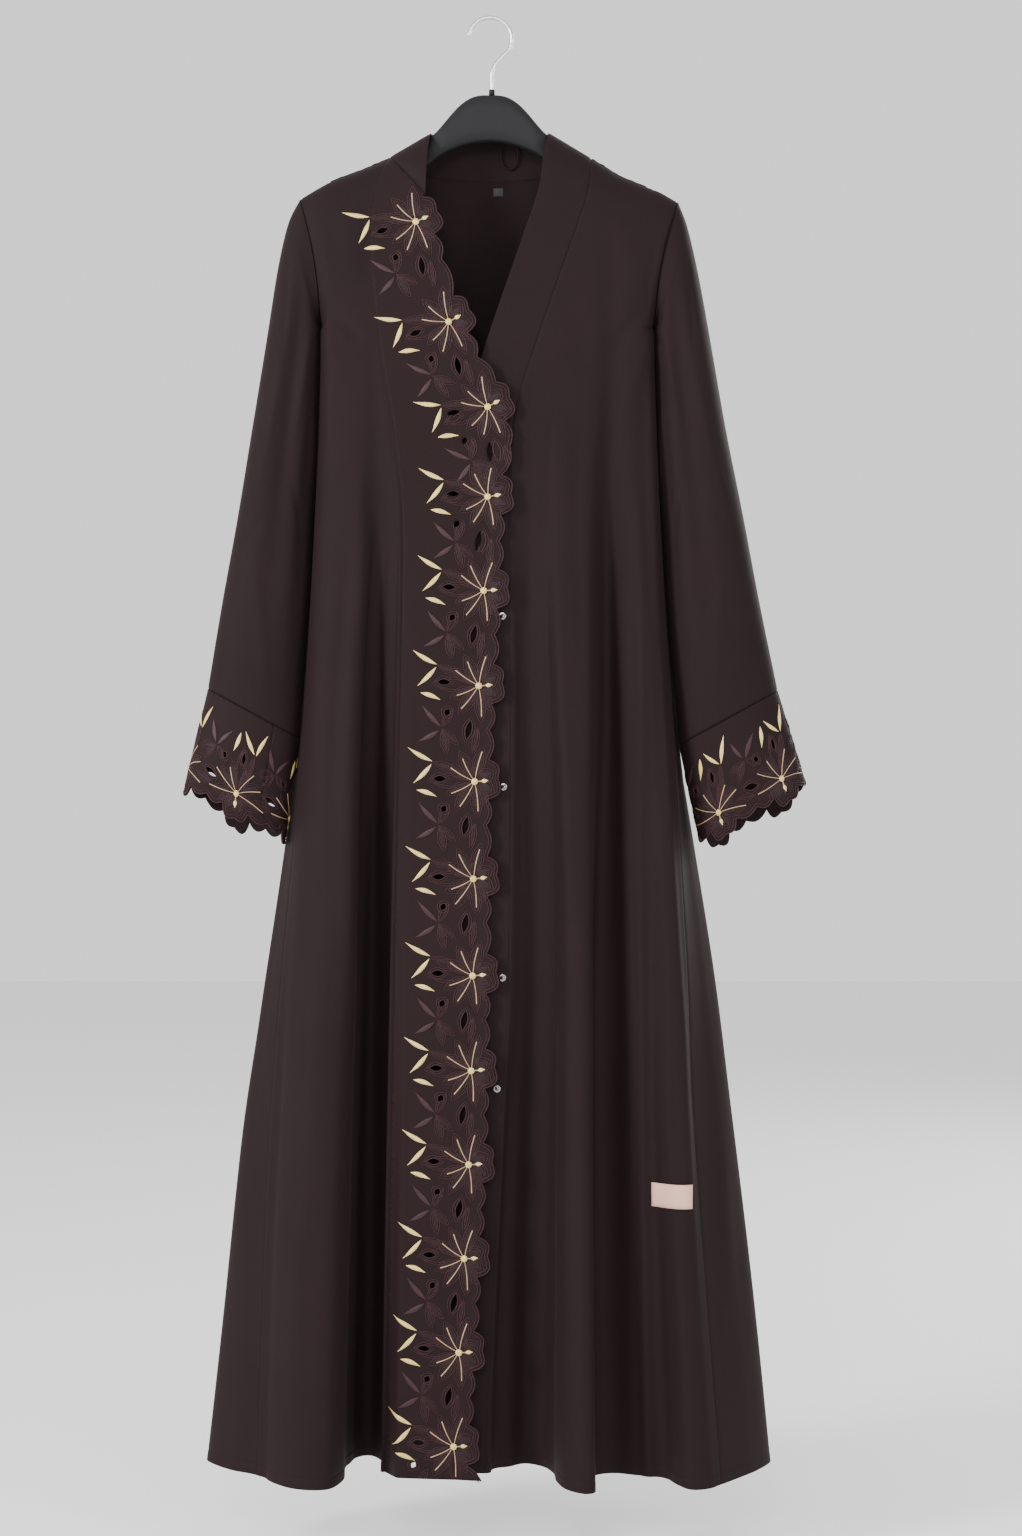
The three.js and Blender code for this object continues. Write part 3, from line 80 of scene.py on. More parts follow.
def on_curve(start, end, start_way, end_way, share):
    """Point on a smooth curve from start to end that leaves and comes in along the two ways."""
    cube, square = share ** 3, share ** 2
    return (start * (2 * cube - 3 * square + 1) + start_way * (cube - 2 * square + share)
            + end * (3 * square - 2 * cube) + end_way * (cube - square))


def column(rows, by, name, at):
    """One column of a table at places between its rows, on a smooth curve through them."""
    keys, values = rows[by], rows[name]
    if keys[0] > keys[-1]:
        keys, values = keys[::-1], values[::-1]
    last = len(keys) - 1
    place = np.clip(at, keys[0], keys[-1])
    row = np.clip(np.searchsorted(keys, place) - 1, 0, last - 1)
    before, after = np.maximum(0, row - 1), np.minimum(last, row + 2)
    span = keys[row + 1] - keys[row]
    share = (place - keys[row]) / span
    start = (values[row + 1] - values[before]) / (keys[row + 1] - keys[before]) * span
    end = (values[after] - values[row]) / (keys[after] - keys[row]) * span
    return on_curve(values[row], values[row + 1], start, end, share)


def unit(vectors):
    return vectors / np.maximum(np.linalg.norm(vectors, axis=-1, keepdims=True), 1e-9)


def between(a, b, c, d, share):
    """Point between b and c on a curve through a, b, c, d, with no loop where they lie unevenly."""
    ab, bc, cd = (np.maximum(0.5, np.linalg.norm(to - start, axis=-1, keepdims=True))
                  for start, to in ((a, b), (b, c), (c, d)))
    start = ((b - a) * (bc / ab) + (c - b) * (ab / bc)) / (ab + bc) * bc
    end = ((c - b) * (cd / bc) + (d - c) * (bc / cd)) / (bc + cd) * bc
    return on_curve(b, c, start, end, share)


SHOULDER_LINE = table(
    "x z",
    SHOULDER_RIGHT,
    (-171.5, -171),
    (-126.6, -154.3),
    (-BAND_SHOULDER_X, BAND_SHOULDER_Z),
    (-NECK_POINT_X, NECK_POINT_Z),
    (NECK_POINT_X, NECK_POINT_Z),
    (BAND_SHOULDER_X, BAND_SHOULDER_Z),
    (136, -163.7),
    (180, -181.5),
    SHOULDER_LEFT,
)
DRAPE = table(
    "drop depth",
    (0, TOP_DEPTH),
    (5, 11),
    (12, 18),
    (25, 25),
    (45, 30),
    (80, 34),
    (200, 38),
    (360, 40),
    (955, 48),
    (1400, 60),
)
ROUNDNESS = 2.6
SIDE_REACH = 12
FULL_SIDE_Z, FLAT_SIDE_Z = -257.0, -640.0


def top_line(x):
    return np.interp(x, SHOULDER_LINE["x"], SHOULDER_LINE["z"])


def drape(x, z):
    """Depth of the cloth from the middle plane."""
    return column(DRAPE, "drop", "depth", top_line(x) - z)


def rounded_depth(share, edge_depth, full_depth, z):
    """Depth at a share of the half width: flat in the middle, round towards the sides."""
    half = np.abs(share)
    turn = np.maximum(0, 1 - half ** ROUNDNESS) ** (1 / ROUNDNESS)
    faded = ARMHOLE_HALF_DEPTH * smooth(FLAT_SIDE_Z, FULL_SIDE_Z, z)
    side_depth = np.where(z > FULL_SIDE_Z, edge_depth, mix(faded, edge_depth, half ** SIDE_REACH))
    return mix(side_depth, full_depth, turn)


PRESSED_LINE = table(
    "z x",
    (BAND_SHOULDER_Z, -BAND_SHOULDER_X),
    (-185, -119),
    (-237, -124),
    (-330, -116),
    (-424, -101),
    (-506, -91.5),
    (-600, -90.5),
    (-1000, -99),
    (-1512, -108.2),
)
BAND_SEAM = table(
    "z x",
    (BAND_SHOULDER_Z, BAND_SHOULDER_X),
    (-189, 101),
    (-251, 79.6),
    (-350, 45.5),
    (-423, 24),
    (-506, 19),
    (-712, 21.7),
    (-1000, 19.6),
    (-1113, 14.4),
    (-1512, -5.1),
)
SIDE_SEAM_RIGHT = table(
    "z x",
    (UNDERARM_Z, UNDERARM_RIGHT_X),
    (-520, -183),
    (-700, -193),
    (-859, -204),
    (-1042, -220),
    (-1191, -230),
    (-1512, -240.5),
)
SIDE_SEAM_LEFT = table(
    "z x",
    (UNDERARM_Z, UNDERARM_LEFT_X),
    (-520, 178),
    (-700, 187),
    (-859, 197),
    (-1000, 205),
    (-1140, 210),
    (-1512, 236.6),
)
# Fold lines: chest is the share of the panel's width at the underarm, hemX and hemY the place at the hem,
# and start how far down from the underarm the fold begins.
FRONT_RIGHT_FOLDS = table(
    "chest hemX hemY start",
    (0, -108.2, -36, 0.1),            # pressed line
    (0.03, -111.8, -36, 0.1),         # crown of the pressed fold
    (0.06, -114.8, -9, 0.1),          # foot of the pressed fold
    (0.17, -133.6, -6, 0.1),          # deep hollow
    (0.28, -145.5, -14, 0.14),        # hollow under the lobe
    (0.34, -149.8, -60, 0.14),        # inner edge of the lobe
    (0.45, -164.6, -86, 0.1),         # lobe, inner
    (0.62, -194, -86, 0.06),          # lobe, outer
    (0.85, -226.3, -62, 0.02),        # lobe, falling away
    (1, -240.5, -45, 0),              # side-front seam
)
BACK_FOLDS = table(
    "chest hemX hemY start",
    (0, -240.5, -45, 0),              # side-front seam
    (0.012, -269.3, -29, 0),          # right side, front
    (0.03, -296.5, 2, 0),             # right side
    (0.055, -284, 32, 0),             # right side, back
    (0.09, -258, 56, 0.02),           # first slope
    (0.15, -222, 76, 0.08),           # first ridge
    (0.21, -188, 50, 0.12),           # first slope in
    (0.27, -160, 30, 0.16),           # first hollow
    (0.33, -128, 57, 0.14),           # second slope
    (0.39, -94, 82, 0.05),            # second ridge
    (0.45, -58, 64, 0.1),             # second slope in
    (0.5, -26, 36, 0.2),              # middle hollow
    (0.555, 10, 31, 0.24),            # middle flat
    (0.61, 46, 60, 0.16),             # third slope
    (0.67, 80, 80, 0.08),             # third ridge
    (0.73, 112, 52, 0.12),            # third slope in
    (0.79, 142, 32, 0.18),            # last hollow
    (0.85, 176, 60, 0.1),             # fourth slope
    (0.9, 212, 78, 0.05),             # fourth ridge
    (0.94, 250, 60, 0.02),            # fourth slope in
    (0.965, 281, 30, 0),              # left side, back
    (0.98, 293.5, -4, 0),             # left side
    (0.99, 276, -32, 0),              # left side, front
    (0.996, 257, -52, 0),             # left side, inner
    (1, 236.6, -72, 0),               # side-front seam
)
FRONT_LEFT_FOLDS = table(
    "chest hemX hemY start",
    (1, 236.6, -72, 0),               # side-front seam
    (0.95, 224.7, -83, 0.04),         # outer lobe, outer
    (0.9, 206.2, -87, 0.08),          # outer lobe
    (0.85, 191, -71, 0.1),            # edge of the outer lobe
    (0.8, 182.7, -56, 0.1),           # slope into the hollow
    (0.7, 159.5, -46, 0.08),          # deep hollow, outer
    (0.6, 135.8, -49, 0.06),          # deep hollow
    (0.52, 123.7, -67, 0.08),         # slope out of the hollow
    (0.46, 116.7, -90, 0.1),          # inner lobe, outer
    (0.37, 100.1, -99, 0.06),         # inner lobe
    (0.3, 80.2, -88, 0.06),           # inner lobe, inner
    (0.265, 69, -64, 0.1),            # edge of the inner lobe
    (0.235, 65.5, -38, 0.12),         # foot of the inner lobe
    (0.19, 55, -20, 0.1),             # hollow beside the lap, outer
    (0.13, 36.5, -11, 0.06),          # hollow beside the lap
    (0.06, 15.5, -25, 0.04),          # slope behind the lap
    (0.02, -1.6, -39.6, 0),           # beside the band
    (0, -5.1, -40, 0),                # band seam
)
RIGHT_ARMHOLE, LEFT_ARMHOLE = (
    {"x": shoulder[0], "z": shoulder[1], "under": under, "bow": bow}
    for shoulder, under, bow in (
        (SHOULDER_RIGHT, UNDERARM_RIGHT_X, ARMHOLE_BOW),
        (SHOULDER_LEFT, UNDERARM_LEFT_X, -ARMHOLE_BOW),
    )
)
BODY = {
    "front_right": {
        "folds": FRONT_RIGHT_FOLDS, "side": -1, "inner": PRESSED_LINE, "outer": SIDE_SEAM_RIGHT,
        "armhole": RIGHT_ARMHOLE, "lap": 0, "before": None, "after": "back",
    },
    "front_left": {
        "folds": FRONT_LEFT_FOLDS, "side": -1, "inner": BAND_SEAM, "outer": SIDE_SEAM_LEFT,
        "armhole": LEFT_ARMHOLE, "lap": FRONT_LAP, "before": "back", "after": None,
    },
    "back": {
        "folds": BACK_FOLDS, "side": 1, "inner": SIDE_SEAM_RIGHT, "outer": SIDE_SEAM_LEFT,
        "armhole": LEFT_ARMHOLE, "lap": 0, "before": "front_right", "after": "front_left",
    },
}


def armhole_point(armhole, angle, side):
    """Point of an armhole at an angle from the shoulder (0) to the underarm (half a turn)."""
    down = (1 - np.cos(angle)) / 2
    x = mix(armhole["x"], armhole["under"], down) + armhole["bow"] * np.sin(math.pi * down)
    y = side * mix(TOP_DEPTH, ARMHOLE_HALF_DEPTH, np.sin(angle))
    return x, y, mix(armhole["z"], UNDERARM_Z, down)


def back_top(x):
    """Seam of the neck band at the back: it sags a little towards the centre back."""
    inside = np.maximum(0, 1 - (x / BAND_SHOULDER_X) ** 2) ** 0.75
    return np.where(np.abs(x) >= BAND_SHOULDER_X, top_line(x), mix(BAND_SHOULDER_Z, BACK_NECK_Z, inside))


def upper_points(piece, chest, angle):
    """Points of the fold lines from the shoulder (angle 0) to the underarm (half a turn)."""
    down = (1 - np.cos(angle)) / 2
    arm_x, arm_y, arm_z = armhole_point(piece["armhole"], angle, piece["side"])
    if piece["side"] > 0:
        other_x = armhole_point(RIGHT_ARMHOLE, angle, 1)[0]
        top_x = mix(RIGHT_ARMHOLE["x"], piece["armhole"]["x"], chest)
        x = mix(other_x, arm_x, chest)
        z = mix(back_top(top_x), UNDERARM_Z, down)
        y = rounded_depth(2 * chest - 1, arm_y, drape(x, z), z)
        return np.stack(np.broadcast_arrays(x, y, z), axis=-1)
    inner_z = mix(BAND_SHOULDER_Z, INNER_CHEST_Z, down)
    inner_x = column(piece["inner"], "z", "x", inner_z)
    top_x = mix(piece["inner"]["x"][0], piece["armhole"]["x"], chest)
    crown = top_line(top_x) - mix(BAND_SHOULDER_Z, piece["armhole"]["z"], chest)
    x = mix(inner_x, arm_x, chest)
    z = mix(inner_z, arm_z, chest) + crown * (1 - down)
    lap = piece["lap"] * down * (1 - chest)
    y = -rounded_depth(chest, -arm_y, drape(x, z) - lap, z)
    return np.stack(np.broadcast_arrays(x, y, z), axis=-1)


SIDE_SWELL, SWELL_START = 0.2, 0.4
SPREAD_POWER, FOLD_POWER = 1.2, 1.15


def lower_points(piece, folds, down):
    """Points of the fold lines from the underarm (0) to the hem (1)."""
    chest, hem_x, hem_y = folds["chest"], folds["hemX"], folds["hemY"]
    under = upper_points(piece, chest[None], np.array([[math.pi]]))
    z = mix(under[..., 2], HEM_Z - HEM_DIP * np.abs(hem_y), down)
    inner_hem, outer_hem = hem_x[chest == 0][0], hem_x[chest == 1][0]
    hem_share = (hem_x - inner_hem) / (outer_hem - inner_hem)
    swell = SIDE_SWELL * np.sin(math.pi * clamp01((down - SWELL_START) / (1 - SWELL_START)))
    share = mix(chest, hem_share, down ** SPREAD_POWER + np.where(hem_share > 1, swell, 0))
    x = mix(column(piece["inner"], "z", "x", z), column(piece["outer"], "z", "x", z), share)
    half = 2 * chest - 1 if piece["side"] > 0 else chest
    edge_depth = np.abs(under[..., 1]) * (1 - down) * half ** SIDE_REACH
    flat_y = piece["side"] * rounded_depth(half, edge_depth, drape(x, z), z) + piece["lap"] * (1 - chest)
    grown = clamp01((down - folds["start"]) / (1 - folds["start"])) ** FOLD_POWER
    return np.stack([x, mix(flat_y, hem_y, grown), z], axis=-1)


def fold_points(name, rows):
    """Every fold line of a body piece at its rows: 0 to 8 along the armhole, and on to the hem."""
    piece = BODY[name]
    folds = piece["folds"]
    rows = np.asarray(rows, float)[:, None]
    upper = upper_points(piece, folds["chest"][None], np.minimum(rows / ARMHOLE_STEPS, 1) * math.pi)
    steps = np.maximum(0, rows - ARMHOLE_STEPS)
    lower = lower_points(piece, folds, np.interp(steps, np.arange(len(BODY_ROWS)), BODY_ROWS))
    return np.where(rows[..., None] <= ARMHOLE_STEPS, upper, lower)


def body_points(name, across, rows):
    """Grid of points of a body piece; across counts its fold lines."""
    points = fold_points(name, rows)
    piece = BODY[name]
    joined = (np.asarray(rows) >= ARMHOLE_STEPS)[:, None]
    first = 2 * points[:, 0] - points[:, 1]
    last = 2 * points[:, -1] - points[:, -2]
    if piece["before"]:
        first = np.where(joined, fold_points(piece["before"], rows)[:, -2], first)
    if piece["after"]:
        last = np.where(joined, fold_points(piece["after"], rows)[:, 1], last)
    line = np.concatenate([first[:, None], points, last[:, None]], axis=1)
    across = np.asarray(across, float)
    index = np.clip(np.floor(across).astype(int), 0, points.shape[1] - 2)
    share = (across - index)[None, :, None]
    return between(line[:, index], line[:, index + 1], line[:, index + 2], line[:, index + 3], share)


# Crepe: unlined polyester with a fine pebbled weave and a faint sheen. What more than one finish shares is a
# node group that only gives colours, masks and normals.
def node_group(name, inputs, outputs):
    """An empty shader group with its sockets; each is a name, a kind and, for an input, its default."""
    group = bpy.data.node_groups.new(name, "ShaderNodeTree")
    for label, kind, default in inputs:
        socket = group.interface.new_socket(name=label, in_out="INPUT", socket_type=kind)
        socket.default_value = default
    for label, kind in outputs:
        group.interface.new_socket(name=label, in_out="OUTPUT", socket_type=kind)
    return group, group.nodes.new("NodeGroupInput"), group.nodes.new("NodeGroupOutput")


def node(tree, kind, **settings):
    """A node with its settings; those that name an input set its value."""
    made = tree.nodes.new(kind)
    for key, value in settings.items():
        if key in made.inputs:
            made.inputs[key].default_value = value
        else:
            setattr(made, key, value)
    return made


def connect(tree, *wires):
    """Links one node's output to another's input, for each (from, output, to, input)."""
    for start, output, end, socket in wires:
        tree.links.new(start.outputs[output], end.inputs[socket])


def crepe_group():
    """Pebbled weave: a bump from crossed threads and grains, and a faint uneven tone."""
    group, given, made = node_group(
        "crepe_weave",
        [("Color", "NodeSocketColor", (0.05, 0.03, 0.03, 1)), ("Threads", "NodeSocketFloat", 1400),
         ("Depth", "NodeSocketFloat", 0.25)],
        [("Color", "NodeSocketColor"), ("Roughness", "NodeSocketFloat"), ("Normal", "NodeSocketVector")],
    )
    place = node(group, "ShaderNodeTexCoord")
    grains = node(group, "ShaderNodeTexNoise", Detail=2.0, Roughness=0.6)
    stretched = node(group, "ShaderNodeMapping")
    stretched.inputs["Scale"].default_value = (1, 1, 0.35)
    threads = node(group, "ShaderNodeTexNoise", Detail=1.0, Roughness=0.5)
    cloudy = node(group, "ShaderNodeTexNoise", Scale=9.0, Detail=3.0, Roughness=0.55)
    both = node(group, "ShaderNodeMath", operation="ADD")
    bump = node(group, "ShaderNodeBump", Distance=0.0004)
    tone = node(group, "ShaderNodeMapRange")
    tone.inputs["To Min"].default_value = 0.82
    tone.inputs["To Max"].default_value = 1.18
    rough = node(group, "ShaderNodeMapRange")
    rough.inputs["To Min"].default_value = 0.66
    rough.inputs["To Max"].default_value = 0.84
    dyed = node(group, "ShaderNodeVectorMath", operation="SCALE")
    connect(
        group,
        (place, "Object", grains, "Vector"),
        (place, "Object", stretched, "Vector"),
        (stretched, "Vector", threads, "Vector"),
        (place, "Object", cloudy, "Vector"),
        (given, "Threads", grains, "Scale"),
        (given, "Threads", threads, "Scale"),
        (grains, "Fac", both, 0),
        (threads, "Fac", both, 1),
        (both, "Value", bump, "Height"),
        (given, "Depth", bump, "Strength"),
        (cloudy, "Fac", tone, "Value"),
        (grains, "Fac", rough, "Value"),
        (given, "Color", dyed, 0),
        (tone, "Result", dyed, "Scale"),
        (dyed, "Vector", made, "Color"),
        (rough, "Result", made, "Roughness"),
        (bump, "Normal", made, "Normal"),
    )
    return group


def material(name, group, values, **shader_values):
    """A Principled material fed by one shared group; constants sit on the shader's own sockets."""
    made = bpy.data.materials.new(name)
    made.use_nodes = True
    tree = made.node_tree
    shader = tree.nodes["Principled BSDF"]
    for key, value in shader_values.items():
        shader.inputs[key.replace("_", " ")].default_value = value
    shared = node(tree, "ShaderNodeGroup", node_tree=group)
    for key, value in values.items():
        shared.inputs[key].default_value = value
    for output in shared.outputs:
        socket = "Base Color" if output.name == "Color" else output.name
        tree.links.new(output, shader.inputs[socket])
    return made


CREPE_WEAVE = crepe_group()
CREPE = material(
    "crepe", CREPE_WEAVE, {"Color": (0.0105, 0.0047, 0.0054, 1), "Threads": 1400, "Depth": 0.3},
    Sheen_Weight=0.02, Sheen_Roughness=0.4, Sheen_Tint=(1, 0.72, 0.74, 1), Specular_IOR_Level=0.12,
)


# Panels of the body, cut from the crepe: narrow seams, a hem that is turned up and stitched, and soft creases
# from hanging and from being packed, uneven.
MM = 0.001
CLOTH = 0.8                    # thickness of the crepe as it is shown
SEAM = 0.12                    # half of the gap at a seam
CREASES_FRONT = table(
    "x1 z1 x2 z2 width depth",
    (-150, -520, -158, -860, 9, -3.2),
    (-104, -440, -116, -820, 8, -3.0),
    (-128, -400, -136, -700, 11, 1.8),
    (-119, -300, -131, -2200, 11, -22.0),
    (-141, -560, -148, -1100, 9, 2.6),
    (121, -160, 138, -2300, 13, -27.0),
    (154, -480, 172, -2300, 7, 5.0),
    (187, -600, 278, -2100, 8, -9.0),
    (-212, -640, -247, -2100, 8, -3.5),
    (20, -500, 8, -2000, 8, -8.0),
    (-173, -420, -186, -780, 9, 1.8),
    (-178, -296, -128, -352, 8, -2.2),
    (-180, -318, -140, -402, 7, 1.6),
    (-186, -214, -168, -318, 9, -1.6),
    (-140, -190, -150, -290, 14, 1.2),
    (-200, -900, -214, -1290, 12, -2.4),
    (-168, -900, -180, -1260, 10, 2.0),
    (-186, -1180, -204, -1470, 9, 1.8),
    (-126, -960, -134, -1330, 7, -2.2),
    (116, -396, 128, -800, 9, -3.6),
    (150, -430, 162, -880, 7, 3.4),
    (94, -460, 104, -900, 8, 2.4),
    (67, -520, 82, -980, 8, 2.4),
    (40, -480, 44, -900, 10, -2.4),
    (170, -520, 184, -900, 8, -2.2),
    (172, -296, 124, -356, 8, -2.2),
    (174, -318, 136, -410, 7, 1.6),
    (184, -216, 164, -318, 9, -1.6),
    (136, -196, 144, -292, 14, 1.2),
    (90, -300, 112, -420, 12, -1.2),
    (196, -960, 214, -1330, 10, 2.2),
    (182, -1000, 196, -1360, 7, -2.0),
    (112, -1000, 122, -1400, 7, 1.8),
    (58, -1040, 62, -1400, 8, -2.0),
    (-10, -700, -60, -760, 22, 0.9),
    (-70, -1060, -20, -1110, 24, 0.8),
)
CREASES_BACK = table(
    "x1 z1 x2 z2 width depth",
    (-176, -300, -122, -362, 9, -2.2),
    (-178, -322, -136, -420, 8, 1.6),
    (172, -302, 118, -366, 9, -2.2),
    (174, -324, 130, -424, 8, 1.6),
    (-60, -186, -84, -300, 16, 1.4),
    (56, -190, 82, -296, 16, 1.4),
    (-4, -210, 2, -420, 20, -1.2),
    (-120, -380, -132, -760, 11, -2.6),
    (-84, -420, -92, -840, 10, 2.6),
    (-52, -480, -58, -900, 11, -2.2),
    (-16, -440, -22, -800, 12, 1.8),
    (24, -500, 30, -980, 12, -2.2),
    (66, -400, 74, -820, 10, 2.6),
    (98, -460, 110, -900, 10, -2.4),
    (138, -420, 154, -840, 10, 2.4),
    (-158, -440, -172, -860, 9, 2.2),
    (-190, -700, -214, -1180, 10, -2.0),
    (176, -640, 204, -1120, 10, -2.0),
    (-40, -1020, -48, -1400, 10, 2.0),
    (30, -1100, 34, -1440, 10, 1.6),
    (-120, -1080, -128, -1420, 9, -1.8),
    (120, -1060, 134, -1420, 9, -1.8),
    (232, -1000, 252, -1400, 10, 1.6),
    (-250, -1040, -262, -1420, 10, 1.6),
)
SEAM_TROUGH, SEAM_REACH = 0.55, 1.8
PRESSED_FLAT = 0.85            # how far the band's seam is pressed out of sight below the neck
HEM_STITCH = 11.0
HEM_FOLD, STITCH_DENT, STITCH_WIDTH = 0.22, 0.4, 0.9
PUCKER = 0.16
PUCKER_RATE, SLOW_PUCKER_RATE = 0.55, 0.13
CREASE_WANDER, WANDER_TURN = 0.35, 5.1
CREASE_GROWN, CREASE_FADING = 0.35, 0.62
CREASE_CLEAR = 14.0            # creases fade out that far from a seam
LAP_FADE = (-440, -560)        # between these heights the seams beside the border and the band fade
HEM_ROW_LENGTH = 142.0


def add_piece(name, mesh, nodes=()):
    """A piece with a finished mesh, on the root body, in place of CAD nodes."""
    piece = bpy.data.objects.new(name, mesh)
    bpy.context.collection.objects.link(piece)
    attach(piece, "root")
    if nodes:
        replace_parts(piece, *nodes)
    return piece


def solid_piece(name, points, faces, material, slot, nodes):
    """A smooth piece from points in millimetres and faces."""
    mesh = bpy.data.meshes.new(name)
    mesh.from_pydata([tuple(point) for point in np.asarray(points) * MM], [], faces)
    mesh.polygons.foreach_set("use_smooth", [True] * len(mesh.polygons))
    mesh.materials.append(material)
    mesh.update()
    return add_piece(name, mesh, nodes)


def shell(outer, normals, faces, cloth):
    """Points and faces of a closed wall: the outer face, the inner one behind it and the rim between."""
    count = len(outer)
    points = np.concatenate([outer, outer - normals * cloth])
    edges = {(face[k], face[(k + 1) % len(face)]) for face in faces for k in range(len(face))}
    inner = [tuple(corner + count for corner in reversed(face)) for face in faces]
    rim = [(b, a, a + count, b + count) for a, b in edges if (b, a) not in edges]
    return points, [*faces, *inner, *rim]


def grid_faces(rows, columns, outward, closed=False):
    """Faces over a grid of points, row by row."""
    faces = []
    for j in range(rows - 1):
        for i in range(columns if closed else columns - 1):
            a, b = j * columns + i, j * columns + (i + 1) % columns
            face = (a, b, b + columns, a + columns)
            faces.append(face if outward > 0 else face[::-1])
    return faces


def grid_normals(points, outward, closed=False):
    """Outward unit vectors of a grid of points."""
    if closed:
        wide = np.concatenate([points[:, -1:], points, points[:, :1]], axis=1)
        across = wide[:, 2:] - wide[:, :-2]
    else:
        across = np.gradient(points, axis=1)
    return unit(np.cross(across, np.gradient(points, axis=0))) * outward


def crepe_wall(name, points, normals, outward, nodes, closed=False):
    """A wall of crepe whose outer face is a grid of points."""
    faces = grid_faces(*points.shape[:2], outward, closed)
    walls = shell(points.reshape(-1, 3), normals.reshape(-1, 3), faces, CLOTH)
    return solid_piece(name, *walls, CREPE, "crepe", nodes)


def crease_lift(creases, x, z):
    """How far the soft creases lift the cloth off its form at each place."""
    total = np.zeros(np.shape(x))
    for x1, z1, x2, z2, width, depth in zip(*creases.values()):
        length = math.hypot(x2 - x1, z2 - z1)
        along = ((x - x1) * (x2 - x1) + (z - z1) * (z2 - z1)) / length ** 2
        aside = ((x - x1) * (z2 - z1) - (z - z1) * (x2 - x1)) / length
        wander = aside + CREASE_WANDER * width * np.sin(WANDER_TURN * along + x1)
        fade = smooth(0, CREASE_GROWN, along) * (1 - smooth(CREASE_FADING, 1, along))
        total += depth * fade * np.exp(-(wander / width) ** 2)
    return total


def run_length(points, axis):
    """Distance along a grid of points from its first row or column."""
    steps = np.linalg.norm(np.diff(points, axis=axis), axis=-1)
    zero = np.zeros_like(np.take(steps, [0], axis=axis))
    return np.concatenate([zero, np.cumsum(steps, axis=axis)], axis=axis)


GRID_EDGES = {"first": np.s_[:, 0:2], "last": np.s_[:, :-3:-1], "top": np.s_[0:2], "foot": np.s_[:-3:-1]}
# The fronts run on a little under the border and the plain band, and the back under the fronts
TUCKED = {"front_right": ("first",), "front_left": ("last",), "back": ("first", "last")}
TUCK = 0.5


def pull_in(points, tucked=()):
    """Draws the four edges of a grid back from their seams; a tucked one runs on under its neighbour."""
    for edge, span in GRID_EDGES.items():
        pair = np.moveaxis(points[span], 1, 0) if edge in ("first", "last") else points[span]
        pair[0] += unit(pair[1] - pair[0]) * (-TUCK if edge in tucked else SEAM)
    return points


def seam_lift(distance, along):
    """Trough beside a seam at a distance, with the small puckers of the stitching along it."""
    waves = np.sin(along * PUCKER_RATE) * np.sin(along * SLOW_PUCKER_RATE + 1)
    puckered = 1 + PUCKER / SEAM_TROUGH * waves
    return -SEAM_TROUGH * puckered * np.exp(-(distance / SEAM_REACH) ** 2)


HEM_ROWS = [LAST_ROW - drop / HEM_ROW_LENGTH for drop in (26, 20, 16, 13, 12, 11, 10, 9, 6, 3, 1.2, 0)]
FINE_ROWS = np.concatenate([
    [0, 0.08],
    np.arange(0.25, ARMHOLE_STEPS, 0.25),
    np.arange(ARMHOLE_STEPS, LAST_ROW - 0.2, 0.125),
    HEM_ROWS,
])


def fine_columns(name, per_fold=8):
    """Places across a body piece, closer together beside its two seams."""
    last = len(BODY[name]["folds"]["chest"]) - 1
    return np.concatenate([[0, 0.04, 0.08], np.linspace(0, last, last * per_fold + 1)[1:-1],
                           [last - 0.08, last - 0.04, last]])


def body_surface(name, columns, rows):
    """Outer face of a body piece with its creases, seams and hem."""
    points = body_points(name, columns, rows)
    normals = grid_normals(points, 1)
    across, down = run_length(points, 1), run_length(points, 0)
    from_last, from_hem = across[:, -1:] - across, down[-1:] - down
    creases = CREASES_FRONT if BODY[name]["side"] < 0 else CREASES_BACK
    lift = crease_lift(creases, points[..., 0], points[..., 2])
    lift *= smooth(0, CREASE_CLEAR, across) * smooth(0, CREASE_CLEAR, from_last)
    low = smooth(*LAP_FADE, points[..., 2])
    first_seam = low if name == "front_right" else 1.0
    last_seam = 1 - PRESSED_FLAT * low if name == "front_left" else 1.0
    lift += seam_lift(across, down) * first_seam + seam_lift(from_last, down) * last_seam
    lift += seam_lift(down, across)
    lift += HEM_FOLD * (1 - smooth(HEM_STITCH - 0.8, HEM_STITCH, from_hem))
    lift -= STITCH_DENT * np.exp(-((from_hem - HEM_STITCH) / STITCH_WIDTH) ** 2)
    points = pull_in(points + normals * lift[..., None], TUCKED[name])
    return points, grid_normals(points, 1)


PANEL_CUTS = {
    "front_right": {"width": 0.20, "length": 1.36, "area": 0.2},
    "front_left": {"width": 0.36, "length": 1.36, "area": 0.35},
    "back": {"width": 1.10, "length": 1.36, "area": 0.95},
}
BODY_SURFACES = {}
for name, cut in PANEL_CUTS.items():
    points, normals = body_surface(name, fine_columns(name), FINE_ROWS)
    BODY_SURFACES[name] = (points, normals)
    panel = crepe_wall(f"{name}_cloth", points, normals, 1, [name])


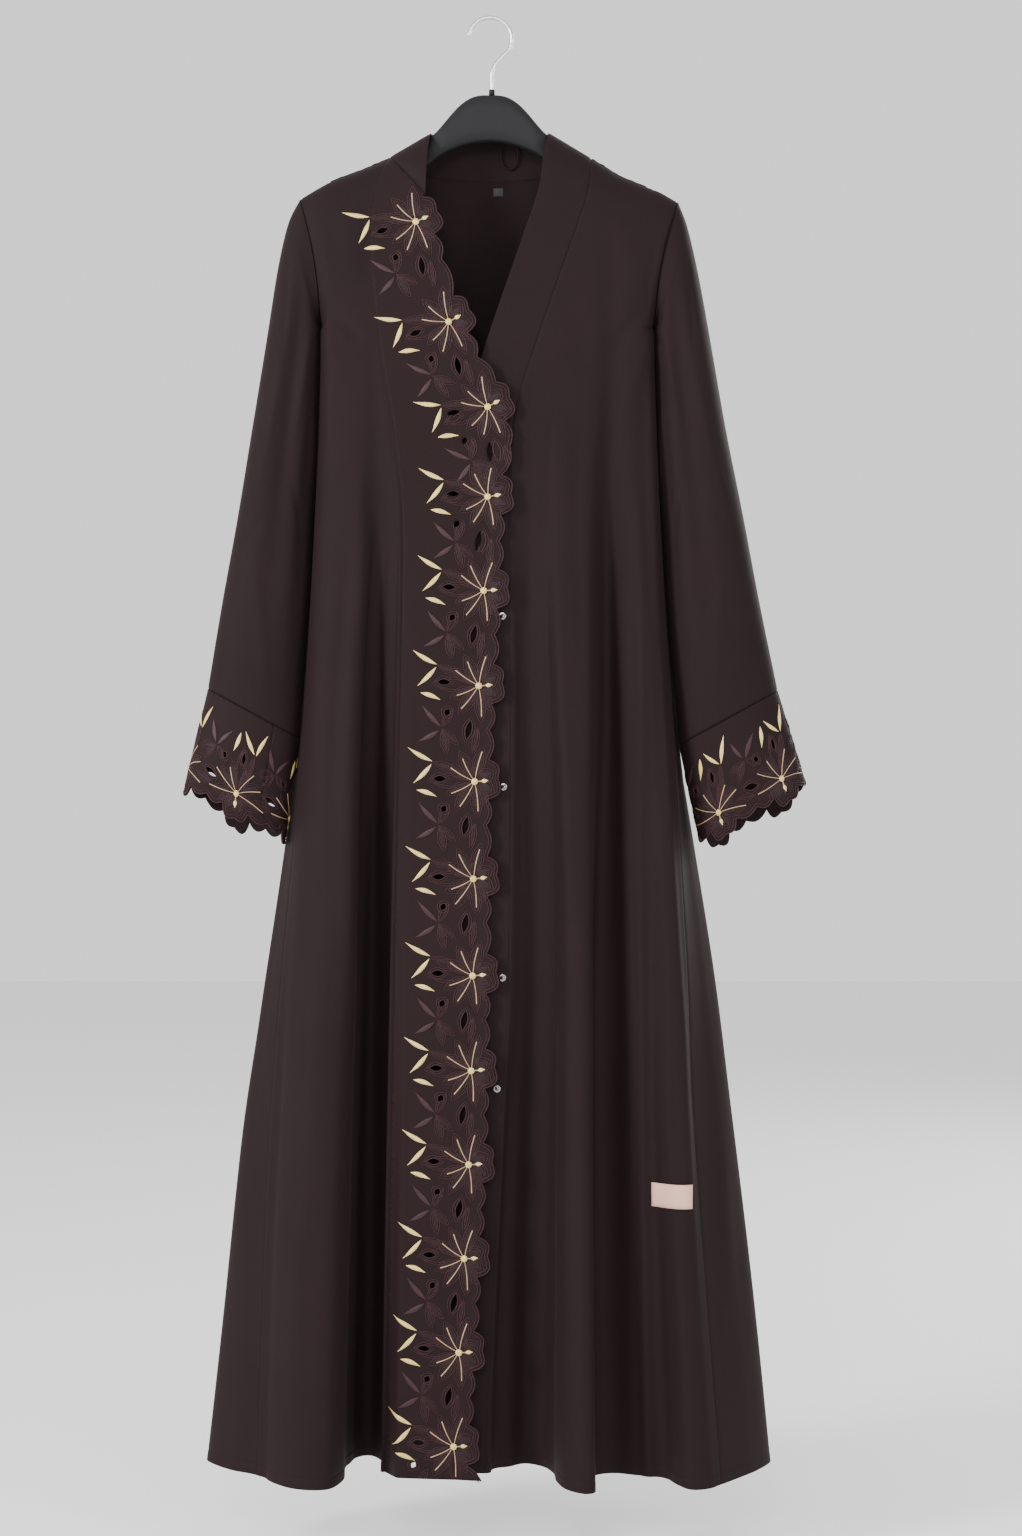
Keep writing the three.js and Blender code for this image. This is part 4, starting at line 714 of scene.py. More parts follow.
# Neck band: one plain folded strip of the same crepe round the back neck and down the left front edge,
# sewn on with its own seam, with the size label and the hanging loop inside it.
BAND_LIFT = table(
    "z lift",
    (BAND_SHOULDER_Z, NECK_POINT_Z - BAND_SHOULDER_Z),
    (-189, 24),
    (-251, 21),
    (-350, 17),
    (-423, 8),
    (-506, 0),
    (-1512, 0),
)
BAND_EDGE = table(
    "z x",
    (NECK_POINT_Z, NECK_POINT_X),
    (-142, 56.2),
    (-181, 50.8),
    (-234, 33.1),
    (-333, -1),
    (-390, -19),
    (-440, -27),
    (-520, -30),
    (-1000, -29),
    (-1512, -52),
)
BACK_EDGE_DEPTH, BACK_EDGE_SAG = 27.0, 1.0
BAND_END = (-66.4, -189.0)
RIGHT_BAND_EDGES = table(
    "x z shift",
    (-66.4, -189, 0.6),
    (-65.6, -160, 0.9),
    (-64, -137, 1.2),
    (-62.7, -124.5, 1.5),
    (-61.9, -119.2, 1.8),
)
BAND_COLUMNS = np.array([0, 0.02, 0.05, 0.1, 0.2, 0.32, 0.45, 0.6, 0.75, 0.86, 0.93, 0.97, 1.0])
BAND_SEAM_COLUMN = 17          # the fold line of the left front that is its seam with the band
EDGE_ROLL, EDGE_ROLL_WIDTH = 0.35, 1.5
BAND_WAVE, BAND_WAVE_RATE, BAND_WAVE_CLEAR = 0.3, 0.013, 12.0
BACK_SEAM_PULL = 0.7           # the back neck seam is pulled that far under the back


def back_neck_edge(x):
    arch = np.maximum(0, 1 - (x / NECK_POINT_X) ** 2)
    depth, height = TOP_DEPTH + BACK_EDGE_DEPTH * np.sqrt(arch), NECK_POINT_Z - BACK_EDGE_SAG * arch
    return np.stack([x, depth, height], axis=-1)


def band_points(seam, edge, behind=None):
    """Rows of the band from its free edge to its seam; on the front it follows the drape of the panels."""
    rows = mix(edge[:, None], seam[:, None], BAND_COLUMNS[None, :, None])
    if behind is not None:
        rows[..., 1] = behind[:, None] - drape(rows[..., 0], rows[..., 2])
    return rows


corner = body_points("front_right", [0], [0])[0, 0]
shift = RIGHT_BAND_EDGES["shift"][:, None]
shift = shift * [1, 0, 0] + (shift - 0.3) * [0, 0, 1]
right_edge = np.stack([RIGHT_BAND_EDGES["x"], np.zeros(5), RIGHT_BAND_EDGES["z"]], axis=-1)
right_rows = band_points(corner + shift, right_edge, np.zeros(5))
back_seam = body_points("back", np.linspace(0, 24, 24 * 8 + 1), [0])[0]
back_seam = back_seam[np.abs(back_seam[:, 0]) < BAND_SHOULDER_X - 1]
back_rows = band_points(back_seam, back_neck_edge(back_seam[:, 0] * NECK_POINT_X / BAND_SHOULDER_X))
left_seam = body_points("front_left", [BAND_SEAM_COLUMN], FINE_ROWS)[:, 0]
edge_z = left_seam[:, 2] + column(BAND_LIFT, "z", "lift", left_seam[:, 2])
left_edge = np.stack([column(BAND_EDGE, "z", "x", edge_z), np.zeros(len(edge_z)), edge_z], axis=-1)
LEFT_BEHIND = left_seam[:, 1] + drape(left_seam[:, 0], left_seam[:, 2])
left_rows = band_points(left_seam, left_edge, LEFT_BEHIND)
band = np.concatenate([right_rows, back_rows, left_rows])
normals = grid_normals(band, -1)
across, down = run_length(band, 1), run_length(band, 0)
from_seam = across[:, -1:] - across
lift = seam_lift(from_seam, down) * (1 - PRESSED_FLAT * smooth(*LAP_FADE, band[..., 2]))
lift += EDGE_ROLL * smooth(0, EDGE_ROLL_WIDTH, across) - EDGE_ROLL
clear = smooth(0, BAND_WAVE_CLEAR, across) * smooth(0, BAND_WAVE_CLEAR, from_seam)
lift += BAND_WAVE * np.sin(down * BAND_WAVE_RATE) * clear
band = pull_in(band + normals * lift[..., None])
behind = slice(len(right_rows), len(right_rows) + len(back_rows))
band[behind, -1] += unit(band[behind, -1] - band[behind, -2]) * BACK_SEAM_PULL
neck_band = crepe_wall("neck_band_cloth", band, grid_normals(band, -1), -1, ["neck_band"])


# Front border: embroidered cutwork of the same crepe down the right front edge. Each repeat has a flower,
# gold and maroon leaves and three pierced eyelets; the edge is scalloped, and the strip is sewn on along
# the pressed line.
BORDER_CLOTH = 1.1
CUTWORK = material(
    "cutwork", CREPE_WEAVE, {"Color": (0.0112, 0.0048, 0.0055, 1), "Threads": 1100, "Depth": 0.4},
    Sheen_Weight=0.02, Sheen_Roughness=0.4, Sheen_Tint=(1, 0.7, 0.72, 1), Specular_IOR_Level=0.12,
)
EDGE_LOBES = table("fromOut fromUp toOut toUp bow", (14, 23, 24, 4, 6), (24, 4, 14, -18, 8))
SHALLOW_BOW, CUSP_OUT, CUSP_UP = 5.0, 13.6, -45.0
EYELETS = table(
    "out up long wide tilt",
    (-36, 2, 13.6, 5.2, 0),
    (-31, -29, 7.5, 5.4, 60),
    (-8, -46, 21, 5.8, 80),
)
HEM_EYELET = table("out up long wide tilt", (-36, 2, 13.6, 5.2, 0), (-40, -21, 7, 5, 60))
FLOWER_LINE = table(
    "flower x z",
    (1, -76.5, -218),
    (2, -42.4, -322),
    (3, -2.1, -410),
    (4, -2.1, -503),
    (5, -6.2, -600),
    (7, -15.5, -797),
    (9, -17.5, -997),
    (11, -21.6, -1191),
    (14, -37, -1479),
)
FLOWERS = 14
BORDER_HEM = np.array([-8.4, -1513.6])
PRESSED_WIDTH, PRESSED_NARROW = 14.0, 4.0
PANEL_LEAVES_Z = -340.0        # above this the embroidery runs on past the border, onto the panel
EDGE_RISE = 2.4                # the stiff free edge stands that much further off the cloth under it
RISE_STARTS, RISE_FULL = 2.0, 24.0
RIPPLE, RIPPLE_DOWN, RIPPLE_ACROSS = 0.54, 0.021, 0.03
PRESSED = body_points("front_right", [0], np.linspace(0, LAST_ROW, 289))[:, 0]


def bowed(start, end, bow, count):
    """Points on a bowed line, without its last; bow is to the left of the way."""
    start, end = np.asarray(start, float), np.asarray(end, float)
    side = unit(np.array([start[1] - end[1], end[0] - start[0]]))
    share = np.linspace(0, 1, count, endpoint=False)[:, None]
    return mix(start, end, share) + side * bow * np.sin(math.pi * share)


def lens(start, end, width, count=12):
    """Outline of a pointed oval."""
    return np.concatenate([bowed(start, end, width / 2, count), bowed(end, start, width / 2, count)])


def eyelet_outlines(cuts, grow=0.0):
    """Outlines of the pierced holes of one repeat, or of rings that much outside them."""
    outlines = []
    for out, up, long, wide, tilt in zip(*cuts.values()):
        turn = math.radians(tilt)
        reach = np.array([math.cos(turn), math.sin(turn)]) * (long / 2 + grow)
        middle = np.array([out, up])
        outlines.append(lens(middle + reach, middle - reach, wide + 2 * grow))
    return outlines


def edge_line(cusp_above, count=10, hem=None):
    """The scalloped edge of one repeat, from the cusp above it to the cusp below, without that one."""
    starts = np.stack([EDGE_LOBES["fromOut"], EDGE_LOBES["fromUp"]], axis=-1)
    ends = np.stack([EDGE_LOBES["toOut"], EDGE_LOBES["toUp"]], axis=-1)
    lobes = [bowed(a, b, bow, count) for a, b, bow in zip(starts, ends, EDGE_LOBES["bow"])]
    below = np.array([CUSP_OUT, CUSP_UP]) if hem is None else hem
    top = [bowed(cusp_above, starts[0], SHALLOW_BOW, count)] if cusp_above is not None else []
    shallow = SHALLOW_BOW * (1 if hem is None else 0.4)
    return np.concatenate([*top, *lobes, bowed(ends[-1], below, shallow, count)])


def flower_frame(flower):
    """Centre, outward way and upward way of a repeat in the picture plane."""
    def at(count):
        return np.array([column(FLOWER_LINE, "flower", name, count) for name in ("x", "z")])
    way = unit(at(min(FLOWERS, flower + 0.15)) - at(max(1, flower - 0.15)))
    return at(flower), np.array([-way[1], way[0]]), -way


def border_place(flower, places):
    """Places of a repeat, as out and up from its flower, in the picture plane (x, z)."""
    centre, out, up = flower_frame(flower)
    places = np.asarray(places, float)
    return centre + places[:, :1] * out + places[:, 1:] * up


def panel_depth(name, x, z):
    """Depth and outward vectors of a body piece's face at places in the picture plane."""
    points, normals = BODY_SURFACES[name]
    rows, columns = points.shape[:2]
    target = np.stack([x, z], axis=-1)
    away = np.linalg.norm(points.reshape(-1, 3)[:, ::2] - target[..., None, :], axis=-1)
    near = away.argmin(axis=-1)
    j, i = np.clip(near // columns, 1, rows - 2), np.clip(near % columns, 1, columns - 2)
    here, out = points[j, i], normals[j, i]
    rest = target - here[..., ::2]
    return here[..., 1] - (rest[..., 0] * out[..., 0] + rest[..., 1] * out[..., 2]) / out[..., 1], out


def border_surface(places):
    """Outer face of the border at places in the picture plane: the drape, and the pressed line at its left.
    Beyond that line beside the neck it is the face of the panel."""
    x, z = places[..., 0], places[..., 1]
    fold_x, fold_y = (np.interp(-z, -PRESSED[:, 2], PRESSED[:, axis]) for axis in (0, 1))
    narrow = smooth(175, 205, -z) * smooth(-600, -380, z)
    near = 1 - smooth(0, 1, (x - fold_x) / mix(PRESSED_WIDTH, PRESSED_NARROW, narrow))
    y = -drape(x, z) + near * (fold_y + drape(fold_x, z))
    beyond = (x < fold_x - 0.2) & (z > PANEL_LEAVES_Z)
    if beyond.any():
        y[beyond] = panel_depth("front_right", x[beyond], z[beyond])[0]
    ripple = RIPPLE * np.sin(z * RIPPLE_DOWN + x * RIPPLE_ACROSS)
    ripple *= smooth(-300, -700, z) * smooth(10, 40, x - fold_x)
    past_flowers = x - np.interp(-z, -FLOWER_LINE["z"], FLOWER_LINE["x"])
    risen = EDGE_RISE * smooth(RISE_STARTS, RISE_FULL, past_flowers) * smooth(-200, -300, z)
    return np.stack([x, y - np.abs(ripple) - risen, z], axis=-1)


def surface_frame(surface, places, lift):
    """Points lifted off a surface, with its outward unit vectors; the surface's first way crossed with its
    second points outwards."""
    reach = 0.4
    across = surface(places + [reach, 0]) - surface(places - [reach, 0])
    along = surface(places + [0, reach]) - surface(places - [0, reach])
    out = unit(np.cross(across, along))
    return surface(places) + out * np.reshape(lift, (-1, 1)), out


def inside(outline, places):
    """Which places lie within a closed outline."""
    x, y = places[:, :1], places[:, 1:]
    x1, y1 = outline[:, 0], outline[:, 1]
    x2, y2 = np.roll(x1, -1), np.roll(y1, -1)
    crosses = (y1 > y) != (y2 > y)
    with np.errstate(divide="ignore", invalid="ignore"):
        at = x1 + (y - y1) * (x2 - x1) / (y2 - y1)
    return (crosses & (x < at)).sum(axis=1) % 2 == 1


LARGEST_ARRAY = 4_000_000


def cutwork(name, outline, holes, surface, pitch, nodes):
    """Cloth with holes: a fine net of triangles fills its outline round them and is laid on a surface."""
    across, along = (np.arange(outline[:, axis].min(), outline[:, axis].max(), pitch) for axis in (0, 1))
    net = np.stack(np.meshgrid(across, along), axis=-1)
    net[::2, :, 0] += pitch / 2
    net = net.reshape(-1, 2)
    net = net[inside(outline, net)]
    for ring in [outline, *holes]:
        step = len(net) * len(ring) // LARGEST_ARRAY + 1
        keep = np.ones(len(net), bool)
        for part in np.array_split(np.arange(len(ring)), step):
            away = np.linalg.norm(net[:, None] - ring[None, part], axis=-1).min(axis=1)
            keep &= away > pitch * 0.45
        net = net[keep]
    points, edges = list(net), []
    for ring in [outline, *holes]:
        first = len(points)
        points.extend(ring)
        edges.extend((first + k, first + (k + 1) % len(ring)) for k in range(len(ring)))
    found = geometry.delaunay_2d_cdt([Vector(point) for point in points], edges, [], 0, 1e-6)
    flat, faces = np.array([tuple(vert) for vert in found[0]]), np.array(found[2])
    middles = flat[faces].mean(axis=1)
    keep = inside(outline, middles)
    for hole in holes:
        keep &= ~inside(hole, middles)
    faces = faces[keep]
    a, b, c = (flat[faces[:, k]] for k in range(3))
    turn = (b - a)[:, 0] * (c - a)[:, 1] - (b - a)[:, 1] * (c - a)[:, 0]
    faces[turn < 0] = faces[turn < 0][:, ::-1]
    used = np.unique(faces)
    faces = np.searchsorted(used, faces)
    outer, out = surface_frame(surface, flat[used], 0)
    walls = shell(outer, out, [tuple(face) for face in faces.tolist()], BORDER_CLOTH)
    return solid_piece(name, *walls, CUTWORK, "cutwork", nodes)


def dense(ring, longest):
    """The same closed line with points added on its longer straight parts."""
    points = []
    for start, end in zip(ring, np.roll(ring, -1, axis=0)):
        count = max(1, math.ceil(np.linalg.norm(end - start) / longest))
        points.append(mix(start, end, np.linspace(0, 1, count, endpoint=False)[:, None]))
    return np.concatenate(points)


edge_points, border_holes = [], []
for flower in range(1, FLOWERS + 1):
    centre, out, up = flower_frame(flower)
    above = None
    if flower > 1:
        cusp = border_place(flower - 1, [(CUSP_OUT, CUSP_UP)])[0] - centre
        above = np.array([cusp @ out, cusp @ up])
    hem = None
    if flower == FLOWERS:
        hem = np.array([(BORDER_HEM - centre) @ out, (BORDER_HEM - centre) @ up])
    edge_points.append(border_place(flower, edge_line(above, hem=hem)))
    cuts = HEM_EYELET if flower == FLOWERS else EYELETS
    border_holes.extend(border_place(flower, outline) for outline in eyelet_outlines(cuts))
BORDER_EDGE = np.concatenate([*edge_points, [BORDER_HEM]])
pressed_side = PRESSED[::-1, ::2] + [2 * SEAM, 0]
start = np.array([[BAND_END[0], BAND_END[1] - 2 * SEAM]])
border_outline = dense(np.concatenate([start, BORDER_EDGE, pressed_side]), 4)
BORDER = cutwork("front_border_cloth", border_outline, border_holes, border_surface, 3.4, ["front_border"])


# Embroidery: leaves in satin stitch, cords and threads, sewn on the cutwork. They are flattened rounds that
# follow lines on its face: one node group sweeps them all, and another sets knots and beads at points.
def stitch_group():
    """Satin stitch: fine threads side by side, a little uneven, slanting across the shape they fill."""
    group, given, made = node_group(
        "satin_stitch",
        [("Color", "NodeSocketColor", (0.1, 0.05, 0.06, 1)), ("Depth", "NodeSocketFloat", 0.5)],
        [("Color", "NodeSocketColor"), ("Normal", "NodeSocketVector")],
    )
    place = node(group, "ShaderNodeTexCoord")
    slanted = node(group, "ShaderNodeMapping")
    slanted.inputs["Rotation"].default_value = (0, 0.7, 0)
    slanted.inputs["Scale"].default_value = (1, 0.2, 0.12)
    threads = node(group, "ShaderNodeTexNoise", Scale=2600.0, Detail=1.0, Roughness=0.5)
    uneven = node(group, "ShaderNodeTexNoise", Scale=160.0, Detail=2.0, Roughness=0.5)
    bump = node(group, "ShaderNodeBump", Distance=0.0005)
    tone = node(group, "ShaderNodeMapRange")
    tone.inputs["To Min"].default_value = 0.7
    tone.inputs["To Max"].default_value = 1.3
    dyed = node(group, "ShaderNodeVectorMath", operation="SCALE")
    connect(
        group,
        (place, "Object", slanted, "Vector"),
        (slanted, "Vector", threads, "Vector"),
        (place, "Object", uneven, "Vector"),
        (threads, "Fac", bump, "Height"),
        (given, "Depth", bump, "Strength"),
        (uneven, "Fac", tone, "Value"),
        (given, "Color", dyed, 0),
        (tone, "Result", dyed, "Scale"),
        (dyed, "Vector", made, "Color"),
        (bump, "Normal", made, "Normal"),
    )
    return group


SATIN_STITCH = stitch_group()
SATIN = material(
    "maroon_satin", SATIN_STITCH, {"Color": (0.026, 0.008, 0.0105, 1), "Depth": 0.6},
    Roughness=0.45, Sheen_Weight=0.05, Sheen_Roughness=0.3, Sheen_Tint=(1, 0.6, 0.66, 1),
    Specular_IOR_Level=0.25,
)
CORD = material(
    "cord_stitch", SATIN_STITCH, {"Color": (0.024, 0.0075, 0.0092, 1), "Depth": 0.6},
    Roughness=0.5, Sheen_Weight=0.04, Sheen_Roughness=0.3, Sheen_Tint=(1, 0.6, 0.66, 1),
    Specular_IOR_Level=0.2,
)
FILL = material(
    "petal_fill", SATIN_STITCH, {"Color": (0.0125, 0.0046, 0.0055, 1), "Depth": 0.7},
    Roughness=0.55, Sheen_Weight=0.03, Sheen_Roughness=0.3, Sheen_Tint=(1, 0.6, 0.66, 1),
    Specular_IOR_Level=0.17,
)
GOLD = material(
    "gold_thread", SATIN_STITCH, {"Color": (0.6, 0.47, 0.17, 1), "Depth": 0.7},
    Roughness=0.4, Metallic=0.25, Specular_IOR_Level=0.5,
)
GOLD_CORD = material(
    "gold_cord", SATIN_STITCH, {"Color": (0.36, 0.245, 0.132, 1), "Depth": 0.5},
    Roughness=0.45, Metallic=0.2, Specular_IOR_Level=0.45,
)


def form_group(name, *inputs):
    """An empty geometry group that takes a mesh, the inputs named here and a material."""
    group = bpy.data.node_groups.new(name, "GeometryNodeTree")
    sockets = [("Geometry", "NodeSocketGeometry"), *inputs, ("Material", "NodeSocketMaterial")]
    for label, kind in sockets:
        group.interface.new_socket(name=label, in_out="INPUT", socket_type=kind)
    group.interface.new_socket(name="Geometry", in_out="OUTPUT", socket_type="NodeSocketGeometry")
    return group, group.nodes.new("NodeGroupInput"), group.nodes.new("NodeGroupOutput")


def sweep_group():
    """Sweeps a flattened round along edge chains, whose points hold half_width and up."""
    group, given, made = form_group(
        "stitched_line", ("Sides", "NodeSocketInt"), ("Flatness", "NodeSocketFloat"),
    )
    lines = node(group, "GeometryNodeMeshToCurve")
    turned = node(group, "GeometryNodeSetCurveNormal", mode="FREE")
    up = node(group, "GeometryNodeInputNamedAttribute", data_type="FLOAT_VECTOR", Name="up")
    wide = node(group, "GeometryNodeInputNamedAttribute", data_type="FLOAT", Name="half_width")
    round_ = node(group, "GeometryNodeCurvePrimitiveCircle", Radius=1.0)
    flat = node(group, "ShaderNodeCombineXYZ", Y=1.0, Z=1.0)
    squeezed = node(group, "GeometryNodeTransform")
    swept = node(group, "GeometryNodeCurveToMesh")
    swept.inputs["Fill Caps"].default_value = True
    real = node(group, "GeometryNodeRealizeInstances")
    smoothed = node(group, "GeometryNodeSetShadeSmooth")
    coloured = node(group, "GeometryNodeSetMaterial")
    connect(
        group,
        (given, "Geometry", lines, "Mesh"),
        (lines, "Curve", turned, "Curve"),
        (up, "Attribute", turned, "Normal"),
        (given, "Sides", round_, "Resolution"),
        (given, "Flatness", flat, "X"),
        (round_, "Curve", squeezed, "Geometry"),
        (flat, "Vector", squeezed, "Scale"),
        (turned, "Curve", swept, "Curve"),
        (squeezed, "Geometry", swept, "Profile Curve"),
        (wide, "Attribute", swept, "Scale"),
        (swept, "Mesh", smoothed, "Geometry"),
        (smoothed, "Geometry", real, "Geometry"),
        (real, "Geometry", coloured, "Geometry"),
        (given, "Material", coloured, "Material"),
        (coloured, "Geometry", made, "Geometry"),
    )
    return group


def knot_group():
    """Sets a low rounded knot at each point, sized by its attribute knot_size and turned to up."""
    group, given, made = form_group("sewn_knot", ("Flatness", "NodeSocketFloat"))
    ball = node(group, "GeometryNodeMeshUVSphere", Segments=14, Rings=8, Radius=1.0)
    flat = node(group, "ShaderNodeCombineXYZ", X=1.0, Y=1.0)
    squeezed = node(group, "GeometryNodeTransform")
    up = node(group, "GeometryNodeInputNamedAttribute", data_type="FLOAT_VECTOR", Name="up")
    size = node(group, "GeometryNodeInputNamedAttribute", data_type="FLOAT", Name="knot_size")
    turned = node(group, "FunctionNodeAlignRotationToVector", axis="Z")
    placed = node(group, "GeometryNodeInstanceOnPoints")
    real = node(group, "GeometryNodeRealizeInstances")
    smoothed = node(group, "GeometryNodeSetShadeSmooth")
    coloured = node(group, "GeometryNodeSetMaterial")
    connect(
        group,
        (given, "Geometry", placed, "Points"),
        (given, "Flatness", flat, "Z"),
        (ball, "Mesh", squeezed, "Geometry"),
        (flat, "Vector", squeezed, "Scale"),
        (squeezed, "Geometry", placed, "Instance"),
        (up, "Attribute", turned, "Vector"),
        (turned, "Rotation", placed, "Rotation"),
        (size, "Attribute", placed, "Scale"),
        (placed, "Instances", real, "Geometry"),
        (real, "Geometry", smoothed, "Geometry"),
        (smoothed, "Geometry", coloured, "Geometry"),
        (given, "Material", coloured, "Material"),
        (coloured, "Geometry", made, "Geometry"),
    )
    return group


STITCHED_LINE, SEWN_KNOT = sweep_group(), knot_group()


def applied(name, mesh, group, inputs, material):
    """The evaluated mesh of a node group's modifier as a finished piece."""
    carrier = bpy.data.objects.new(f"{name}_lines", mesh)
    bpy.context.collection.objects.link(carrier)
    modifier = carrier.modifiers.new("form", "NODES")
    modifier.node_group = group
    sockets = {item.name: item.identifier for item in group.interface.items_tree if item.in_out == "INPUT"}
    for key, value in {**inputs, "Material": material}.items():
        modifier[sockets[key]] = value
    carrier.update_tag()
    bpy.context.view_layer.update()
    evaluated = carrier.evaluated_get(bpy.context.evaluated_depsgraph_get())
    finished = bpy.data.meshes.new_from_object(evaluated)
    bpy.data.objects.remove(carrier)
    return add_piece(name, finished)


def marked_mesh(name, points, edges, size_name, sizes, ups):
    """Points in millimetres, joined by edges, that carry a size and their outward vector."""
    mesh = bpy.data.meshes.new(name)
    mesh.from_pydata([tuple(point) for point in np.asarray(points) * MM], edges, [])
    size = mesh.attributes.new(size_name, "FLOAT", "POINT")
    size.data.foreach_set("value", (np.asarray(sizes) * MM).astype(np.float32))
    up = mesh.attributes.new("up", "FLOAT_VECTOR", "POINT")
    up.data.foreach_set("vector", np.asarray(ups).astype(np.float32).ravel())
    return mesh


class Lines:
    """Lines on a surface, each with its half width and its outward vector, gathered for one piece."""

    def __init__(self):
        self.points, self.ups, self.halves, self.edges = [], [], [], []
        self.count = 0

    def add(self, points, ups, halves, closed=False):
        total = len(points)
        self.points.append(points)
        self.ups.append(ups)
        self.halves.append(np.broadcast_to(halves, total))
        span = np.arange(total if closed else total - 1)
        self.edges.append(np.stack([self.count + span, self.count + (span + 1) % total], axis=-1))
        self.count += total

    def piece(self, name, material, slot_name, sides=6, flatness=0.6):
        points, ups, halves, edges = (
            np.concatenate(parts) for parts in (self.points, self.ups, self.halves, self.edges)
        )
        mesh = marked_mesh(f"{name}_lines", points, edges.tolist(), "half_width", halves, ups)
        return applied(name, mesh, STITCHED_LINE, {"Sides": sides, "Flatness": flatness}, material)


def knots_piece(name, points, ups, sizes, material, flatness=0.5):
    mesh = marked_mesh(f"{name}_points", points, [], "knot_size", sizes, ups)
    return applied(name, mesh, SEWN_KNOT, {"Flatness": flatness}, material)


# One repeat of the embroidery, in millimetres from the flower's centre: out towards the edge and up along it
STAMENS = table("angle long", (78, 31), (118, 28), (151, 28), (206, 26), (238, 30.5), (277, 31))
PETALS = table(
    "angle long wide",
    (78, 38, 13),
    (118, 36, 13),
    (151, 34, 12),
    (180, 49, 15),
    (206, 33, 12),
    (238, 37, 13),
    (277, 39, 12),
    (300, 30, 11),
    (30, 23, 15),
    (332, 24, 16),
)
GOLD_LEAVES = table(
    "out up angle long wide",
    (-44.5, 19.8, 152, 28.5, 4.6),
    (-45, 16.8, 228, 27, 4.5),
    (-59.4, -10.3, -16.7, 21.4, 4.7),
)
MAROON_LEAVES = table(
    "out up angle long wide",
    (-37, -44, 134, 29, 5.6),
    (-38.5, -48, 211, 24, 5.6),
)
# Leaves that are only outlined, between the flowers
OUTLINED_LEAVES = table(
    "out up angle long wide",
    (-44, 19, 341, 31, 9),
    (-36, -45, 62, 24, 8),
    (-36, -46, 318, 25, 8),
    (-35, -47, 283, 27, 9),
    (2, -42, 262, 30, 7),
)
PISTIL = np.array([(1.0, 0.1), (4.0, 0.3), (7.5, 0.7)])
PISTIL_HEAD = {"out": 6.6, "up": 0.6, "angle": 8, "long": 7.4, "wide": 4.2}
EDGE_CORDS = table("inset half", (0.3, 0.8), (3.2, 0.55))
CORD_HALF = 0.6
DOUBLE = 2.1                   # distance between the two cords round a petal
PETAL_START = 3.5              # the petals start that far from the flower's middle
EYELET_CORDS = table("grow half", (0.9, 0.85), (3.6, 0.6))
STAMEN_POINTS, STAMEN_BOW, STAMEN_HALVES = 8, 0.9, (0.42, 0.68)
PISTIL_HALF, PISTIL_HEAD_LEAST = 0.7, 0.6
KNOT, BEAD, BEADS, BEADS_RADIUS = 3.5, 0.9, 8, 2.7
LEAF_BOW, LEAF_POINT, LEAF_SHARE, LEAF_TAPER, LEAF_FULL = 0.9, 0.06, 0.85, 1.15, 1.08


def ray(out, up, angle, long):
    turn = math.radians(angle)
    start = np.array([out, up], float)
    return start, start + long * np.array([math.cos(turn), math.sin(turn)])


def leaf_line(start, end, wide, bow=0.0, count=9):
    """Middle line of a pointed leaf and its half width along it."""
    share = np.linspace(0, 1, count)
    side = unit(np.array([start[1] - end[1], end[0] - start[0]]))
    line = mix(start, end, share[:, None]) + side * bow * np.sin(math.pi * share)[:, None]
    taper = np.sin(math.pi * share ** LEAF_SHARE) ** LEAF_TAPER
    return line, wide / 2 * np.maximum(LEAF_POINT, taper) * LEAF_FULL


def inset_line(line, inset):
    """An open line moved to its right by that much."""
    way = unit(np.gradient(line, axis=0))
    return line + np.stack([way[:, 1], -way[:, 0]], axis=-1) * inset


